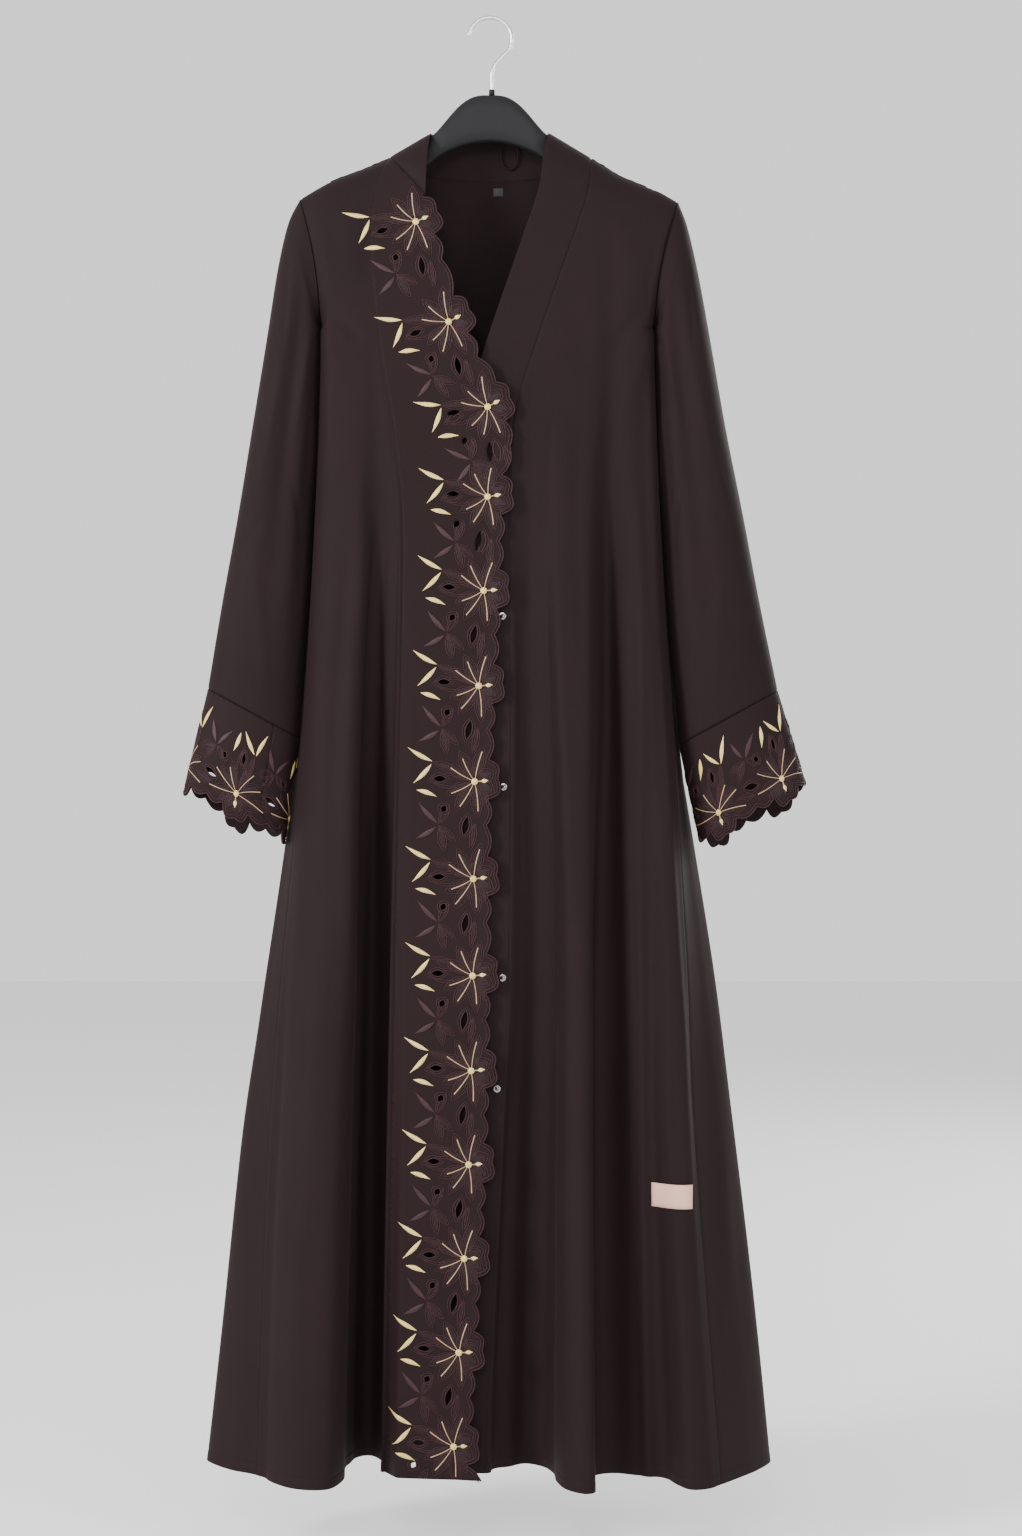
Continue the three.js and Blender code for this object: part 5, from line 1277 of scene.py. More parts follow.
class Embroidery:
    """Gathers what is stitched on one cutwork piece; place turns a repeat's places into the surface's."""

    def __init__(self, surface, seed):
        self.surface = surface
        self.fills, self.cords, self.satin, self.gold, self.threads = (Lines() for _ in range(5))
        self.knots, self.knot_ups, self.knot_sizes = [], [], []
        self.uneven = np.random.default_rng(seed)

    def line(self, group, places, halves, lift=0.1, closed=False):
        points, ups = surface_frame(self.surface, places, lift)
        group.add(points, ups, halves, closed)

    def knot(self, places, size, lift=0.3):
        points, ups = surface_frame(self.surface, places, lift)
        self.knots.extend(points)
        self.knot_ups.extend(ups)
        self.knot_sizes.extend([size] * len(points))

    def outlined(self, place, start, end, wide, scale, keep):
        """A petal or leaf: its satin filling and the two cords round it, where they lie on the cloth."""
        long = np.linalg.norm(end - start)
        for inset in (0.0, DOUBLE):
            way = (end - start) / long
            outline = lens(start + way * inset, end - way * inset * 1.7, wide - 2 * inset, 10)
            self.trace(self.cords, place(outline), CORD_HALF * scale, keep, closed=True)
        line, halves = leaf_line(start + way * DOUBLE, end - way * 2 * DOUBLE, wide - 2.4 * DOUBLE)
        if keep(place(lens(line[0], line[-1], wide - DOUBLE))).all():
            self.line(self.fills, place(line), halves * scale, lift=0.02)

    def repeat(self, place, cuts, scale, keep, widen=1.0):
        """One repeat. keep says which of its places lie on the cloth; scale is the size of its widths, and
        widen how much further its stamens spread along the edge."""
        slants = self.uneven.uniform(-3, 3, len(STAMENS["angle"]))
        longer = self.uneven.uniform(0.93, 1.05, len(STAMENS["angle"]))
        for angle, long, wide in zip(*PETALS.values()):
            foot = ray(0, 0, angle, PETAL_START)[1]
            self.outlined(place, *ray(*foot, angle, long - PETAL_START), wide, scale, keep)
        for out, up, angle, long, wide in zip(*OUTLINED_LEAVES.values()):
            self.outlined(place, *ray(out, up, angle, long), wide, scale, keep)
        for angle, long in zip(STAMENS["angle"] + slants, STAMENS["long"] * longer):
            line = mix(*ray(0, 0, angle, long), np.linspace(0.05, 1, STAMEN_POINTS)[:, None])
            side = np.array([-math.sin(math.radians(angle)), math.cos(math.radians(angle))])
            line += side * STAMEN_BOW * np.sin(math.pi * np.linspace(0, 1, STAMEN_POINTS))[:, None]
            halves = np.linspace(*STAMEN_HALVES, STAMEN_POINTS) * scale
            self.line(self.threads, place(line * [1, widen]), halves, lift=0.5)
        self.line(self.threads, place(PISTIL), PISTIL_HALF * scale, lift=0.55)
        head = ray(*(PISTIL_HEAD[key] for key in ("out", "up", "angle", "long")))
        line, halves = leaf_line(*head, PISTIL_HEAD["wide"] * scale)
        self.line(self.gold, place(line), np.maximum(halves, PISTIL_HEAD_LEAST), lift=0.5)
        self.knot(place(np.zeros((1, 2))), KNOT * scale, lift=0.5)
        ring = np.arange(BEADS) / BEADS * 2 * math.pi
        beads = BEADS_RADIUS * np.stack([np.cos(ring), np.sin(ring)], axis=-1)
        self.knot(place(beads), BEAD * scale, lift=1.3)
        for leaves, group in ((GOLD_LEAVES, self.gold), (MAROON_LEAVES, self.satin)):
            for out, up, angle, long, wide in zip(*leaves.values()):
                line, halves = leaf_line(*ray(out, up, angle, long), wide * scale, bow=LEAF_BOW)
                if keep(place(line)).all():
                    self.line(group, place(line), halves, lift=0.25)
        for grow, half in zip(*EYELET_CORDS.values()):
            for outline in eyelet_outlines(cuts, grow):
                self.trace(self.cords, place(outline), half * scale, keep, closed=True)

    def trace(self, group, places, half, keep, closed=False):
        """A cord along the parts of a line that lie on the cloth."""
        kept = keep(places)
        if kept.all():
            self.line(group, places, half, closed=closed)
            return
        if closed and kept.any():
            first = int(np.argmin(kept))
            places, kept = np.roll(places, -first, axis=0), np.roll(kept, -first)
        for run in np.split(np.arange(len(kept)), np.flatnonzero(np.diff(kept.astype(int))) + 1):
            if kept[run[0]] and len(run) > 2:
                self.line(group, places[run], half)

    def pieces(self, name):
        return [
            self.fills.piece(f"{name}_petals", FILL, "cutwork", sides=8, flatness=0.07),
            self.cords.piece(f"{name}_cords", CORD, "cutwork", sides=5, flatness=0.75),
            self.satin.piece(f"{name}_maroon_leaves", SATIN, "cutwork", sides=10, flatness=0.26),
            self.gold.piece(f"{name}_gold_leaves", GOLD, "cutwork", sides=10, flatness=0.36),
            self.threads.piece(f"{name}_stamens", GOLD_CORD, "cutwork", sides=6, flatness=0.7),
            knots_piece(f"{name}_knots", self.knots, self.knot_ups, self.knot_sizes, GOLD),
        ]


# Flowers three and four are sewn a little more turned than the edge there
SPINS = {3: math.radians(9), 4: math.radians(5)}
PANEL_LEAVES_X, NEAR_HOLE = -165.0, 90.0
work = Embroidery(border_surface, 5)


def on_border(places):
    """True where there is cloth: on the border clear of its eyelets, and on the panel beside the neck."""
    kept = inside(border_outline, places)
    fold_x = np.interp(-places[:, 1], -PRESSED[:, 2], PRESSED[:, 0])
    kept |= (places[:, 0] < fold_x + 1) & (places[:, 1] > PANEL_LEAVES_Z) & (places[:, 0] > PANEL_LEAVES_X)
    for hole in border_holes:
        if abs(hole[:, 1].mean() - places[:, 1].mean()) < NEAR_HOLE:
            kept &= ~inside(hole, places)
    return kept


def spun_place(flower, places):
    """Places of a repeat in the picture plane, with the flower turned by its spin."""
    cosine, sine = math.cos(SPINS.get(flower, 0)), math.sin(SPINS.get(flower, 0))
    return border_place(flower, places @ np.array([[cosine, sine], [-sine, cosine]]))


for flower in range(1, FLOWERS + 1):
    cuts = HEM_EYELET if flower == FLOWERS else EYELETS
    work.repeat(partial(spun_place, flower), cuts, 1.0, on_border)
for inset, half in zip(*EDGE_CORDS.values()):
    work.line(work.cords, inset_line(BORDER_EDGE, inset), half, lift=0.05)
work.pieces("front_border")


# Sleeves: long set-in tubes of the same crepe, a little wider towards the wrist, that hang flat in front of
# and behind the arm's space, with creases at the elbow and along the arm.
SLEEVES = {
    "sleeve_right": {
        "armhole": RIGHT_ARMHOLE, "outward": -1, "first": 0.0, "cuff": "cuff_right",
        "rows": table(
            "at outX outZ inX inZ depth",
            (0, *SHOULDER_RIGHT, UNDERARM_RIGHT_X, UNDERARM_Z, 27),
            (1, -211, -214, -180, -333, 30),
            (2, -222, -262, -181.5, -344, 33),
            (3, -234, -338, -182, -374, 35),
            (4, -249, -430, -183, -440, 36),
            (5, -264.6, -525, -187.5, -530, 36),
            (6, -280, -610, -192, -624, 35),
            (7, -295, -700, -202.5, -752, 32),
        ),
        "edge": {"outX": -320, "outZ": -805, "inX": -218, "inZ": -858, "depth": 27},
    },
    "sleeve_left": {
        "armhole": LEFT_ARMHOLE, "outward": 1, "first": 0.5, "cuff": "cuff_left",
        "rows": table(
            "at outX outZ inX inZ depth",
            (0, *SHOULDER_LEFT, UNDERARM_LEFT_X, UNDERARM_Z, 27),
            (1, 207, -219, 175, -333, 30),
            (2, 219, -272, 176.5, -345, 33),
            (3, 233, -350, 177, -375, 35),
            (4, 247, -430, 177, -440, 36),
            (5, 265, -520, 182, -530, 36),
            (6, 282, -610, 188, -624, 35),
            (7, 301, -702, 201.5, -759, 32),
        ),
        "edge": {"outX": 332, "outZ": -803, "inX": 223.5, "inZ": -863, "depth": 27},
    },
}
SLEEVE_FOLDS = table(
    "angle width depth start end",
    (0.27, 0.06, 7, 1, 6.6),
    (0.4, 0.05, 4, 2.4, 6.9),
    (0.71, 0.07, 7, 1.6, 6.8),
)
# Soft creases of a sleeve: turn 0 is the outer edge, a quarter the front; row counts its sections
SLEEVE_CREASES = table(
    "turn1 row1 turn2 row2 width depth",
    (0.12, 1.2, 0.2, 3.2, 0.022, -1.6),
    (0.2, 3.0, 0.14, 5.2, 0.024, 1.3),
    (0.34, 2.0, 0.3, 4.4, 0.02, 1.4),
    (0.3, 4.4, 0.4, 5.2, 0.018, -1.5),
    (0.22, 4.8, 0.12, 5.4, 0.02, -1.3),
    (0.18, 5.4, 0.3, 6.9, 0.022, 1.2),
    (0.44, 1.2, 0.36, 2.6, 0.016, -1.6),
    (0.4, 3.4, 0.46, 4.8, 0.018, 1.2),
    (0.6, 1.4, 0.66, 3.4, 0.022, 1.5),
    (0.78, 2.0, 0.84, 4.2, 0.024, -1.6),
    (0.64, 4.2, 0.76, 5.0, 0.02, -1.4),
    (0.86, 4.6, 0.78, 6.6, 0.022, 1.3),
    (0.56, 4.8, 0.6, 6.8, 0.02, 1.2),
)
# The cloth of each sleeve hangs against the body along its inner edge
SLEEVE_LEAN = (0, 4.0, 7.4, 6.8, 5.0, 4.0, 3.4, 4.0)
CUFF_LEAN = 4.0
for sleeve in SLEEVES.values():
    sleeve["rows"]["inX"] = sleeve["rows"]["inX"] - sleeve["outward"] * np.array(SLEEVE_LEAN)
    sleeve["edge"]["inX"] -= sleeve["outward"] * CUFF_LEAN
SLEEVE_COLUMNS = 112
SLEEVE_ROWS = np.concatenate([[0, 0.05, 0.12], np.arange(0.25, 6.9, 0.09), [6.93, 6.97, 7]])


def section_point(section, turn):
    angle = turn * 2 * math.pi
    share = (1 - np.cos(angle)) / 2
    x = mix(section["outX"], section["inX"], share)
    return np.stack(np.broadcast_arrays(x, -section["depth"] * np.sin(angle),
                                        mix(section["outZ"], section["inZ"], share)), axis=-1)


def sleeve_points(sleeve, turn, row):
    """Outer face of a sleeve's form at grids of turns and rows."""
    rows = sleeve["rows"]
    section = {name: column(rows, "at", name, row) for name in ("outX", "outZ", "inX", "inZ", "depth")}
    points = section_point(section, turn)
    ends = [section_point(section, np.full_like(turn, end)) for end in (0.0, 0.5)]
    middle = (ends[0] + ends[1]) / 2
    squeeze = np.zeros(np.broadcast(turn, row).shape)
    for angle, width, depth, start, end in zip(*SLEEVE_FOLDS.values()):
        along = np.sin(math.pi * clamp01((row - start) / (end - start)))
        squeeze += depth * along * np.exp(-((turn - angle) / width) ** 2)
    for turn1, row1, turn2, row2, width, depth in zip(*SLEEVE_CREASES.values()):
        along = (row - row1) / (row2 - row1)
        aside = turn - mix(turn1, turn2, along) - 0.3 * width * np.sin(4 * along)
        fade = smooth(0, 0.35, along) * (1 - smooth(0.65, 1, along))
        squeeze -= depth * fade * np.exp(-(aside / width) ** 2)
    points = points - unit(points - middle) * squeeze[..., None]
    front = turn <= 0.5
    angle = np.where(front, turn, 1 - turn) * 2 * math.pi
    arm = np.stack(armhole_point(sleeve["armhole"], angle, np.where(front, -1, 1)), axis=-1)
    return mix(arm, points, smooth(0, 0.6, row)[..., None])


turns = np.arange(SLEEVE_COLUMNS) / SLEEVE_COLUMNS
for name, sleeve in SLEEVES.items():
    turn, row = np.meshgrid(turns, SLEEVE_ROWS)
    points = sleeve_points(sleeve, turn, row)
    normals = grid_normals(points, sleeve["outward"], closed=True)
    down, around = run_length(points, 0), run_length(points, 1)
    lift = seam_lift(down, around) + seam_lift(down[-1:] - down, around)
    points += normals * (lift * smooth(0, 2.5, down))[..., None]
    points[0] += unit(points[1] - points[0]) * SEAM
    points[-1] += unit(points[-2] - points[-1]) * SEAM
    normals = grid_normals(points, sleeve["outward"], closed=True)
    normals[0] = unit(normals[0] * [0.15, 1, 0.15])
    sleeve["tube"] = crepe_wall(f"{name}_cloth", points, normals, sleeve["outward"], [name], closed=True)


# Cuffs: the same cutwork turned so that its scalloped edge is the end of the sleeve. Each is sewn to its
# sleeve and made in two halves, with four flowers all round.
CUFF_HEIGHT = 105.0
CUFF_REPEATS, CUFF_FLOWER_HEIGHT, FRONT_REPEAT = 4, 22.0, 100.0
CUFF_WIDTHS = 0.85             # the widths of the cuffs' sewing against the border's
ROUND_SAMPLES = 360
CUFF_BACK_DROP = 13.0


def cuff_surface(sleeve):
    """The cuff's face at places (way round, height over its edge), and its length round."""
    edge = sleeve["edge"]
    top = {name: values[-1] for name, values in sleeve["rows"].items()}
    middle = {name: (edge[name] + top[name]) / 2 for name in edge}
    ring = section_point(middle, np.linspace(0, 1, ROUND_SAMPLES + 1))
    lengths = np.concatenate([[0], np.cumsum(np.linalg.norm(np.diff(ring, axis=0), axis=-1))])

    def surface(places):
        way, height = -sleeve["outward"] * places[..., 0], places[..., 1]
        whole = np.floor(way / lengths[-1])
        turn = whole + np.interp(way - whole * lengths[-1], lengths, np.linspace(0, 1, ROUND_SAMPLES + 1))
        low, high = section_point(edge, turn), section_point(top, turn)
        low[..., 2] -= CUFF_BACK_DROP * np.maximum(0, low[..., 1] / edge["depth"]) ** 1.3
        return mix(low, high, (height / CUFF_HEIGHT)[..., None])
    return surface, lengths[-1]


for name, sleeve in SLEEVES.items():
    surface, round_length = cuff_surface(sleeve)
    pitch = round_length / CUFF_REPEATS
    narrow = pitch / FRONT_REPEAT
    work = Embroidery(surface, 11)

    def cuff_place(repeat, places):
        """Places of a repeat on the cuff; the repeat is as much narrower as the cuff's own is."""
        places = np.asarray(places, float)
        way = (sleeve["first"] + repeat) * pitch + places[:, 1] * narrow
        return np.stack([way, CUFF_FLOWER_HEIGHT - places[:, 0]], axis=-1)

    cuff_edges, outlines, every_hole, halves = [], [], [], []
    for half in (0, 1):
        ring, holes = [], []
        for repeat in (2 * half + 1, 2 * half):
            line = edge_line(np.array([CUSP_OUT, CUSP_UP + FRONT_REPEAT]), count=8)
            ring.append(cuff_place(repeat, line))
            holes.extend(cuff_place(repeat, outline) for outline in eyelet_outlines(EYELETS))
        cusp = np.array([(CUSP_OUT, CUSP_UP)])
        topside = CUFF_FLOWER_HEIGHT - CUFF_HEIGHT + 2 * SEAM
        path = np.array([(topside, -60), (-22, -60), (3, -61), (CUSP_OUT, CUSP_UP)])
        low = cuff_place(2 * half, path) + [SEAM, 0]
        high = cuff_place(2 * half + 2, path) - [SEAM, 0]
        edge = np.concatenate([*ring, cuff_place(2 * half, cusp)])
        outline = dense(np.concatenate([high[:-1], edge, low[::-1][1:]]), 4)
        outlines.append(outline)
        cuff_edges.append(edge)
        every_hole.extend(holes)
        node_name = f"{sleeve['cuff']}_{half + 1}"
        halves.append(cutwork(f"{node_name}_cloth", outline, holes, surface, 2.6, [node_name]))

    def on_cuff(places):
        """True where the cuff has cloth, up to its seam with the sleeve."""
        kept = places[:, 1] < CUFF_HEIGHT - 1.5
        around = [places + [turn * round_length, 0] for turn in (-1, 0, 1)]
        kept &= np.any([inside(outline, place) for outline in outlines for place in around], axis=0)
        for hole in every_hole:
            kept &= ~np.any([inside(hole, place) for place in around], axis=0)
        return kept

    for repeat in range(CUFF_REPEATS):
        work.repeat(partial(cuff_place, repeat), EYELETS, CUFF_WIDTHS, on_cuff, 1 / narrow)
    for inset, half in zip(*EDGE_CORDS.values()):
        for edge in cuff_edges:
            work.line(work.cords, inset_line(edge, inset), half, lift=0.05)
    sewn = work.pieces(sleeve["cuff"])


# Labels: a bare woven satin patch sewn on the left front, and a small bare label of grey tape sewn inside
# the back neck.
LABEL = material(
    "label_satin", CREPE_WEAVE, {"Color": (0.6, 0.36, 0.27, 1), "Threads": 2600, "Depth": 0.15},
    Sheen_Weight=0.1, Sheen_Roughness=0.3,
)
TAPE = material(
    "grey_tape", CREPE_WEAVE, {"Color": (0.02, 0.021, 0.023, 1), "Threads": 1800, "Depth": 0.3},
    Sheen_Weight=0.02,
)
SIDE_PATCH = {"x": 187.2, "z": -1221.5, "width": 40.0, "height": 24.5, "cloth": 0.7, "lift": 1.0}
SIZE_LABEL = {"x": 8.6, "z": -174.5, "width": 10.5, "height": 8.5, "cloth": 0.5, "lift": 1.3}


def laid_patch(name, body, patch, material, slot_name, count=14):
    """A small patch on a body piece: stiffer than its cloth, it bridges the creases just in front of them."""
    u, v = np.meshgrid(np.linspace(-0.5, 0.5, count), np.linspace(0.5, -0.5, count // 2))
    x, z = patch["x"] + patch["width"] * u, patch["z"] + patch["height"] * v
    depth = panel_depth(body, x, z)[0]
    terms = np.stack([u ** 0, u, v, u * u, u * v, u ** 3], axis=-1)
    bent = terms @ np.linalg.lstsq(terms.reshape(-1, 6), depth.ravel(), rcond=None)[0]
    bent += (depth - bent).min()
    face = np.stack([x, bent, z], axis=-1)
    out = grid_normals(face, 1)
    out *= -np.sign(out[..., 1:2])
    lifted = face + out * (patch["lift"] + 0.25 * np.cos(u * 9) + 0.2 * np.sin(v * 5))[..., None]
    outer, normals = lifted.reshape(-1, 3), out.reshape(-1, 3)
    faces = grid_faces(count // 2, count, 1)
    sample = np.cross(outer[1] - outer[0], outer[count] - outer[0]) @ normals[0]
    if sample < 0:
        faces = [face[::-1] for face in faces]
    return solid_piece(name, *shell(outer, normals, faces, patch["cloth"]), material, slot_name, [name])


laid_patch("side_patch", "front_left", SIDE_PATCH, LABEL, "label_cloth")
laid_patch("size_label", "back", SIZE_LABEL, TAPE, "grey_tape")


# Snaps: four nickel press studs sewn to the plain band, half hidden by the border's scallops. Each is
# turned about its own axis, with a knob in its middle.
def wear_group():
    """Faint dust and handling marks on moulded plastic and metal: they only change the roughness."""
    group, given, made = node_group(
        "handling_wear",
        [("Roughness", "NodeSocketFloat", 0.4), ("Scale", "NodeSocketFloat", 60)],
        [("Roughness", "NodeSocketFloat"), ("Normal", "NodeSocketVector")],
    )
    place = node(group, "ShaderNodeTexCoord")
    marks = node(group, "ShaderNodeTexNoise", Detail=4.0, Roughness=0.6)
    grain = node(group, "ShaderNodeTexNoise", Scale=2200.0, Detail=1.0)
    bump = node(group, "ShaderNodeBump", Strength=0.08, Distance=0.0003)
    spread = node(group, "ShaderNodeMapRange")
    spread.inputs["To Min"].default_value = -0.07
    spread.inputs["To Max"].default_value = 0.07
    total = node(group, "ShaderNodeMath", operation="ADD")
    connect(
        group,
        (place, "Object", marks, "Vector"),
        (place, "Object", grain, "Vector"),
        (given, "Scale", marks, "Scale"),
        (marks, "Fac", spread, "Value"),
        (spread, "Result", total, 0),
        (given, "Roughness", total, 1),
        (grain, "Fac", bump, "Height"),
        (total, "Value", made, "Roughness"),
        (bump, "Normal", made, "Normal"),
    )
    return group


HANDLING = wear_group()
STUD = material(
    "snap_metal", HANDLING, {"Roughness": 0.2, "Scale": 200}, Base_Color=(0.3, 0.29, 0.28, 1), Metallic=1.0,
)


def turned(profile, centre, axis, sides=40):
    """A solid of revolution from (radius, height) pairs about an axis through its centre."""
    axis = unit(np.asarray(axis, float))
    side = unit(np.cross(axis, [0.3, 0.1, 1.0]))
    other = np.cross(axis, side)
    angles = np.arange(sides) / sides * 2 * math.pi
    ring = np.cos(angles)[:, None] * side + np.sin(angles)[:, None] * other
    points = np.concatenate([centre + ring * radius + axis * height for radius, height in profile])
    faces = grid_faces(len(profile), sides, -1, closed=True)
    last = (len(profile) - 1) * sides
    faces += [tuple(reversed(range(sides))), tuple(range(last, last + sides))]
    return points, [face[::-1] for face in faces]


SNAPS = table("x z", (13.2, -626), (14.2, -802.5), (13.2, -999.5), (7.6, -1114))
SNAP_PROFILE = [
    (3.0, 0.2), (3.6, 0.25), (3.8, 0.5), (3.75, 0.8), (3.4, 0.95), (2.7, 0.9), (2.2, 1.0), (1.95, 1.5),
    (1.8, 2.0), (1.3, 2.3), (0.5, 2.4),
]
for count, (x, z) in enumerate(zip(*SNAPS.values()), 1):
    behind = np.interp(-z, -left_seam[:, 2], LEFT_BEHIND)
    y = behind - drape(np.array([x]), np.array([z]))[0]
    stud = turned(SNAP_PROFILE, np.array([x, y, z]), (0, -1, 0))
    solid_piece(f"snap_{count}", *stud, STUD, "snap_metal", [f"snap_{count}"])


# Hanging loop: a thin corded strip of the same crepe, a little flattened. Its two ends are sewn inside
# the back neck.
LOOP_WAY = table(
    "x z", (11.5, -128), (11.6, -139), (14.5, -148), (21, -151.5), (27.5, -147), (29.6, -138), (29.7, -128),
)
LOOP_HALF, LOOP_CLEAR = 0.9, 2.95


def curve_through(knots, count):
    """Points on a smooth line through all the knots, as many between each two."""
    wide = np.concatenate([[2 * knots[0] - knots[1]], knots, [2 * knots[-1] - knots[-2]]])
    share = np.linspace(0, len(knots) - 1, count)
    index = np.clip(np.floor(share).astype(int), 0, len(knots) - 2)
    return between(*(wide[index + step] for step in range(4)), (share - index)[:, None])


loop = curve_through(np.stack([LOOP_WAY["x"], np.zeros(7), LOOP_WAY["z"]], axis=-1), 49)
top = back_neck_edge(loop[:, 0])
seam_z = back_top(loop[:, 0] * BAND_SHOULDER_X / NECK_POINT_X)
seam_depth = drape(np.array([0.0]), np.array([BACK_NECK_Z]))[0]
loop[:, 1] = mix(top[:, 1], seam_depth, (top[:, 2] - loop[:, 2]) / (top[:, 2] - seam_z)) - LOOP_CLEAR
strip = Lines()
strip.add(loop, np.tile([0.0, -1.0, 0.0], (len(loop), 1)), LOOP_HALF)
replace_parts(strip.piece("hanging_loop", CREPE, "crepe", sides=12, flatness=0.8), "hanging_loop")


# Hanger: one satin black moulding with a domed middle and sloping arms, a black ferrule pressed on it and a
# bent steel hook. Past the neck its top lies under the cloth's top line by the size named under.
MOULDED = material(
    "hanger_plastic", HANDLING, {"Roughness": 0.5, "Scale": 40}, Base_Color=(0.0105, 0.0105, 0.0115, 1),
    Specular_IOR_Level=0.15,
)
STEEL = material(
    "hook_steel", HANDLING, {"Roughness": 0.27, "Scale": 120}, Base_Color=(0.62, 0.61, 0.6, 1), Metallic=1.0,
)
HANGER_DOME = table(
    "x top low depth",
    (0, -79.6, -128, 9),
    (10, -79.8, -128.8, 9),
    (20, -82.5, -130.4, 9),
    (30, -89, -133.4, 9),
    (39, -98, -137, 9),
    (48, -108.8, -141.5, 9),
    (57, -118.8, -147, 7.5),
)
HANGER_ARM = table(
    "x under thick depth",
    (66, 3.8, 28.6, 6),
    (84, 4, 24.4, 5.5),
    (100, 4.6, 21, 3.9),
    (136, 2.4, 20, 6),
    (168, 2.8, 17.6, 6),
    (184, 2.6, 15, 5.5),
    (190, 4, 8, 3.5),
)
HANGER_SIDES, HANGER_REACH = 48, 190.0
DOME_ROUNDING, ARM_ROUNDING = 0.62, 0.9
RIM_WIDTH, RIM_HEIGHT = 0.09, 0.5
arm_top = top_line(HANGER_ARM["x"]) - HANGER_ARM["under"]
HANGER = {
    "x": np.concatenate([HANGER_DOME["x"], HANGER_ARM["x"]]),
    "top": np.concatenate([HANGER_DOME["top"], arm_top]),
    "low": np.concatenate([HANGER_DOME["low"], arm_top - HANGER_ARM["thick"]]),
    "depth": np.concatenate([HANGER_DOME["depth"], HANGER_ARM["depth"]]),
    "square": np.repeat([DOME_ROUNDING, ARM_ROUNDING], 7),
}
stations = np.concatenate([np.linspace(0, 60, 41), np.linspace(62, 188, 64), [189, 189.7, HANGER_REACH]])
stations = np.concatenate([-stations[:0:-1], stations])
angles = np.arange(HANGER_SIDES) / HANGER_SIDES * 2 * math.pi
half = {
    name: column(HANGER, "x", name, np.abs(stations))[:, None] for name in ("top", "low", "depth", "square")
}


def rounded(value, power):
    return np.sign(value) * np.abs(value) ** power


y = half["depth"] * rounded(np.sin(angles), half["square"])
middle, rise = (half["top"] + half["low"]) / 2, (half["top"] - half["low"]) / 2
z = middle + rise * rounded(np.cos(angles), half["square"])
# A fine parting rim stands out along the middle of the moulding
rim = np.exp(-(np.sin(angles) / RIM_WIDTH) ** 2) * RIM_HEIGHT
z += np.sign(np.cos(angles)) * rim * smooth(0, 4, HANGER_REACH - np.abs(stations))[:, None]
hanger = np.stack(np.broadcast_arrays(stations[:, None], y, z), axis=-1)
faces = grid_faces(len(stations), HANGER_SIDES, -1, closed=True)
last = (len(stations) - 1) * HANGER_SIDES
faces += [tuple(range(HANGER_SIDES)), tuple(reversed(range(last, last + HANGER_SIDES)))]
solid_piece("hanger_body", hanger.reshape(-1, 3), faces, MOULDED, "hanger_plastic", ["hanger_body"])

WIRE, HOOK_RADIUS, STEM_X, FERRULE_TOP = 4.4, 20.6, 2.0, -73.6
FERRULE_PROFILE = [(2.4, -5.6), (3.1, -5.4), (3.1, -0.6), (2.9, -0.15), (2.5, 0.0)]
ferrule = turned(FERRULE_PROFILE, np.array([STEM_X, 0, FERRULE_TOP]), (0, 0, 1))
solid_piece("hanger_ferrule", *ferrule, MOULDED, "hanger_plastic", ["hanger_ferrule"])
ring = HOOK_RADIUS + WIRE / 2
bend = np.radians(np.linspace(172, -24, 10))
round_part = np.stack([ring * np.cos(bend), np.zeros(10), -HOOK_RADIUS + ring * np.sin(bend)], axis=-1)
stem = [(13.5, 0, -38), (6.2, 0, -46.5), (STEM_X, 0, -55), (STEM_X, 0, -65), (STEM_X, 0, FERRULE_TOP + 0.3)]
way = curve_through(np.concatenate([round_part, stem]), 181)
wire = Lines()
free_end = np.minimum(1, 0.72 + np.linalg.norm(way - way[0], axis=-1) / 2.6)
wire.add(way, np.tile([0.0, -1.0, 0.0], (len(way), 1)), WIRE / 2 * free_end)
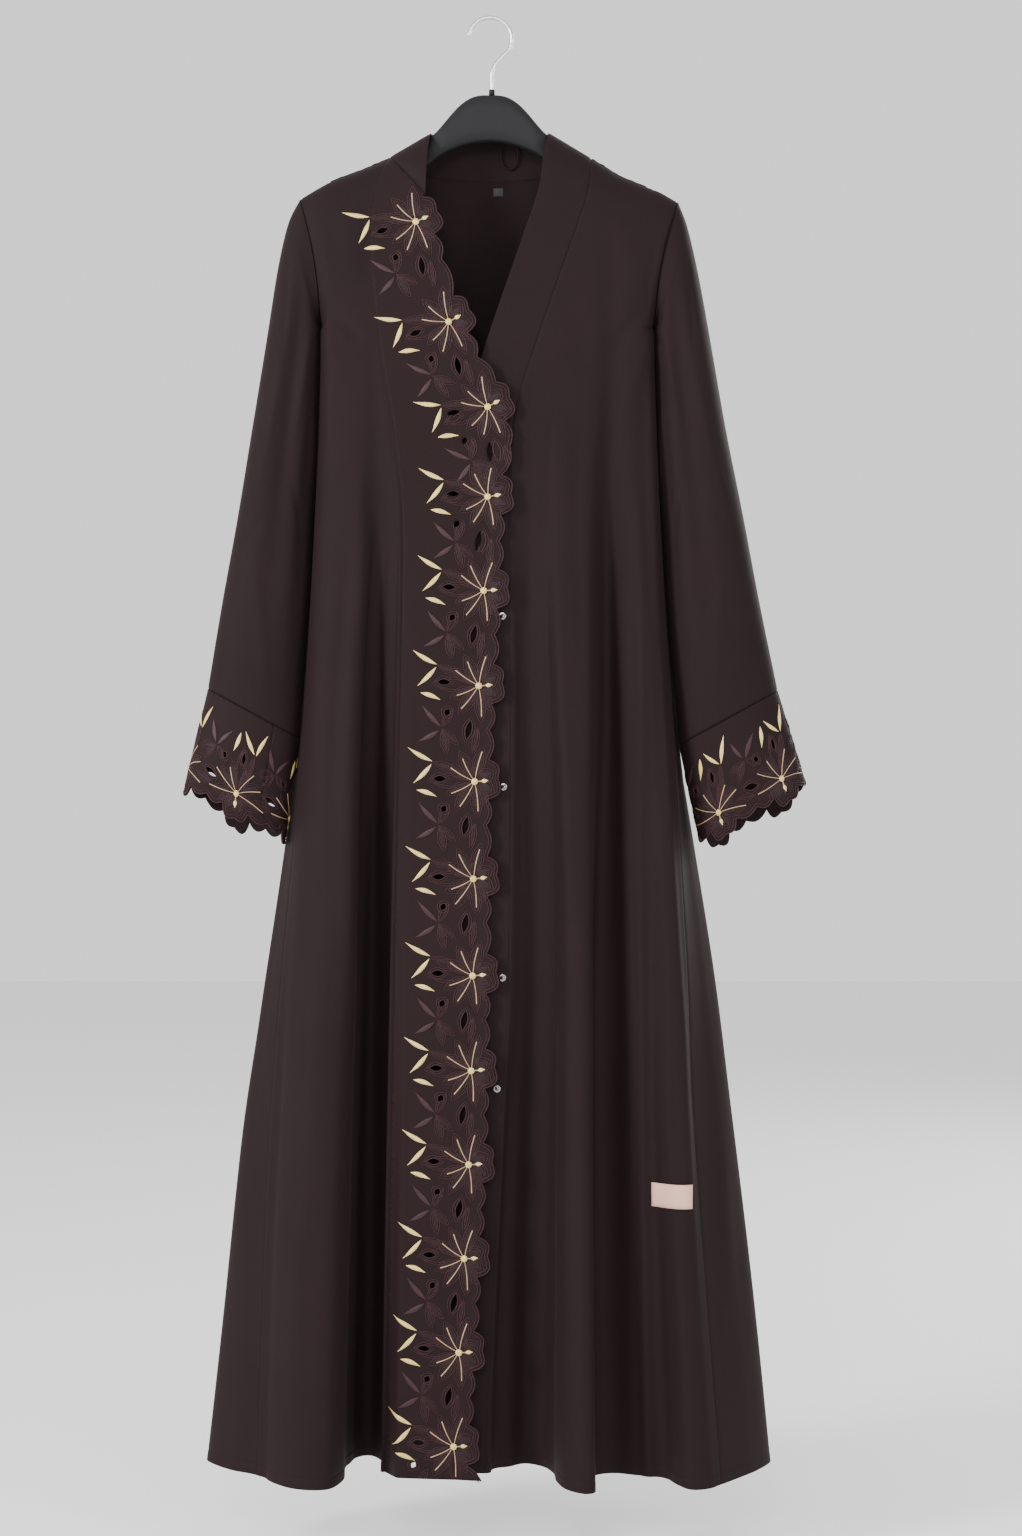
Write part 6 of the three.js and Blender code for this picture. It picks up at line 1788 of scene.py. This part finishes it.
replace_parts(wire.piece("hanger_hook", STEEL, "hook_steel", sides=28, flatness=1.0), "hanger_hook")


# Stage: a plain pale floor and soft studio light, seen from the photo's place. None of it belongs to the
# part.
FLOOR_HALF, FLOOR_Z = 8, -1.6
corners = [(x * FLOOR_HALF, y * FLOOR_HALF, FLOOR_Z) for x, y in ((-1, -1), (1, -1), (1, 1), (-1, 1))]
mesh = bpy.data.meshes.new("floor")
mesh.from_pydata(corners, [], [(0, 1, 2, 3)])
floor = bpy.data.objects.new("floor", mesh)
bpy.context.collection.objects.link(floor)
pale = bpy.data.materials.new("pale_floor")
pale.use_nodes = True
paint = pale.node_tree.nodes["Principled BSDF"].inputs
paint["Base Color"].default_value = (0.86, 0.86, 0.86, 1)
paint["Roughness"].default_value = 0.9
mesh.materials.append(pale)

world = bpy.data.worlds.new("studio")
bpy.context.scene.world = world
world.use_nodes = True
air = world.node_tree.nodes["Background"].inputs
air["Color"].default_value = (1, 1, 1, 1)
air["Strength"].default_value = 1.2


def area_light(name, place, aim, width, height, power):
    """A soft box that looks at a point."""
    data = bpy.data.lights.new(name, "AREA")
    data.shape, data.size, data.size_y, data.energy = "RECTANGLE", width, height, power
    light = bpy.data.objects.new(name, data)
    light.location = place
    light.rotation_euler = (Vector(aim) - Vector(place)).to_track_quat("-Z", "Y").to_euler()
    bpy.context.collection.objects.link(light)


area_light("key", (-2.7, -2.0, 0.2), (0, 0, -0.75), 0.7, 1.8, 150)
area_light("fill", (2.4, -2.4, -0.3), (0, 0, -0.8), 0.9, 2.0, 45)
area_light("front", (-0.3, -3.6, 0.6), (0, 0, -0.5), 0.9, 0.9, 45)
area_light("back", (2.6, 2.6, 0.4), (0, 0, -0.8), 0.9, 2.0, 90)

view = bpy.data.cameras.new("photo_view")
view.sensor_fit = "VERTICAL"
view.sensor_height = 24
view.lens = 44.8
camera = bpy.data.objects.new("photo_view", view)
camera.location = (0.022, -3.0, -0.783)
camera.rotation_euler = (math.radians(90), 0, 0)
bpy.context.collection.objects.link(camera)
bpy.context.scene.camera = camera
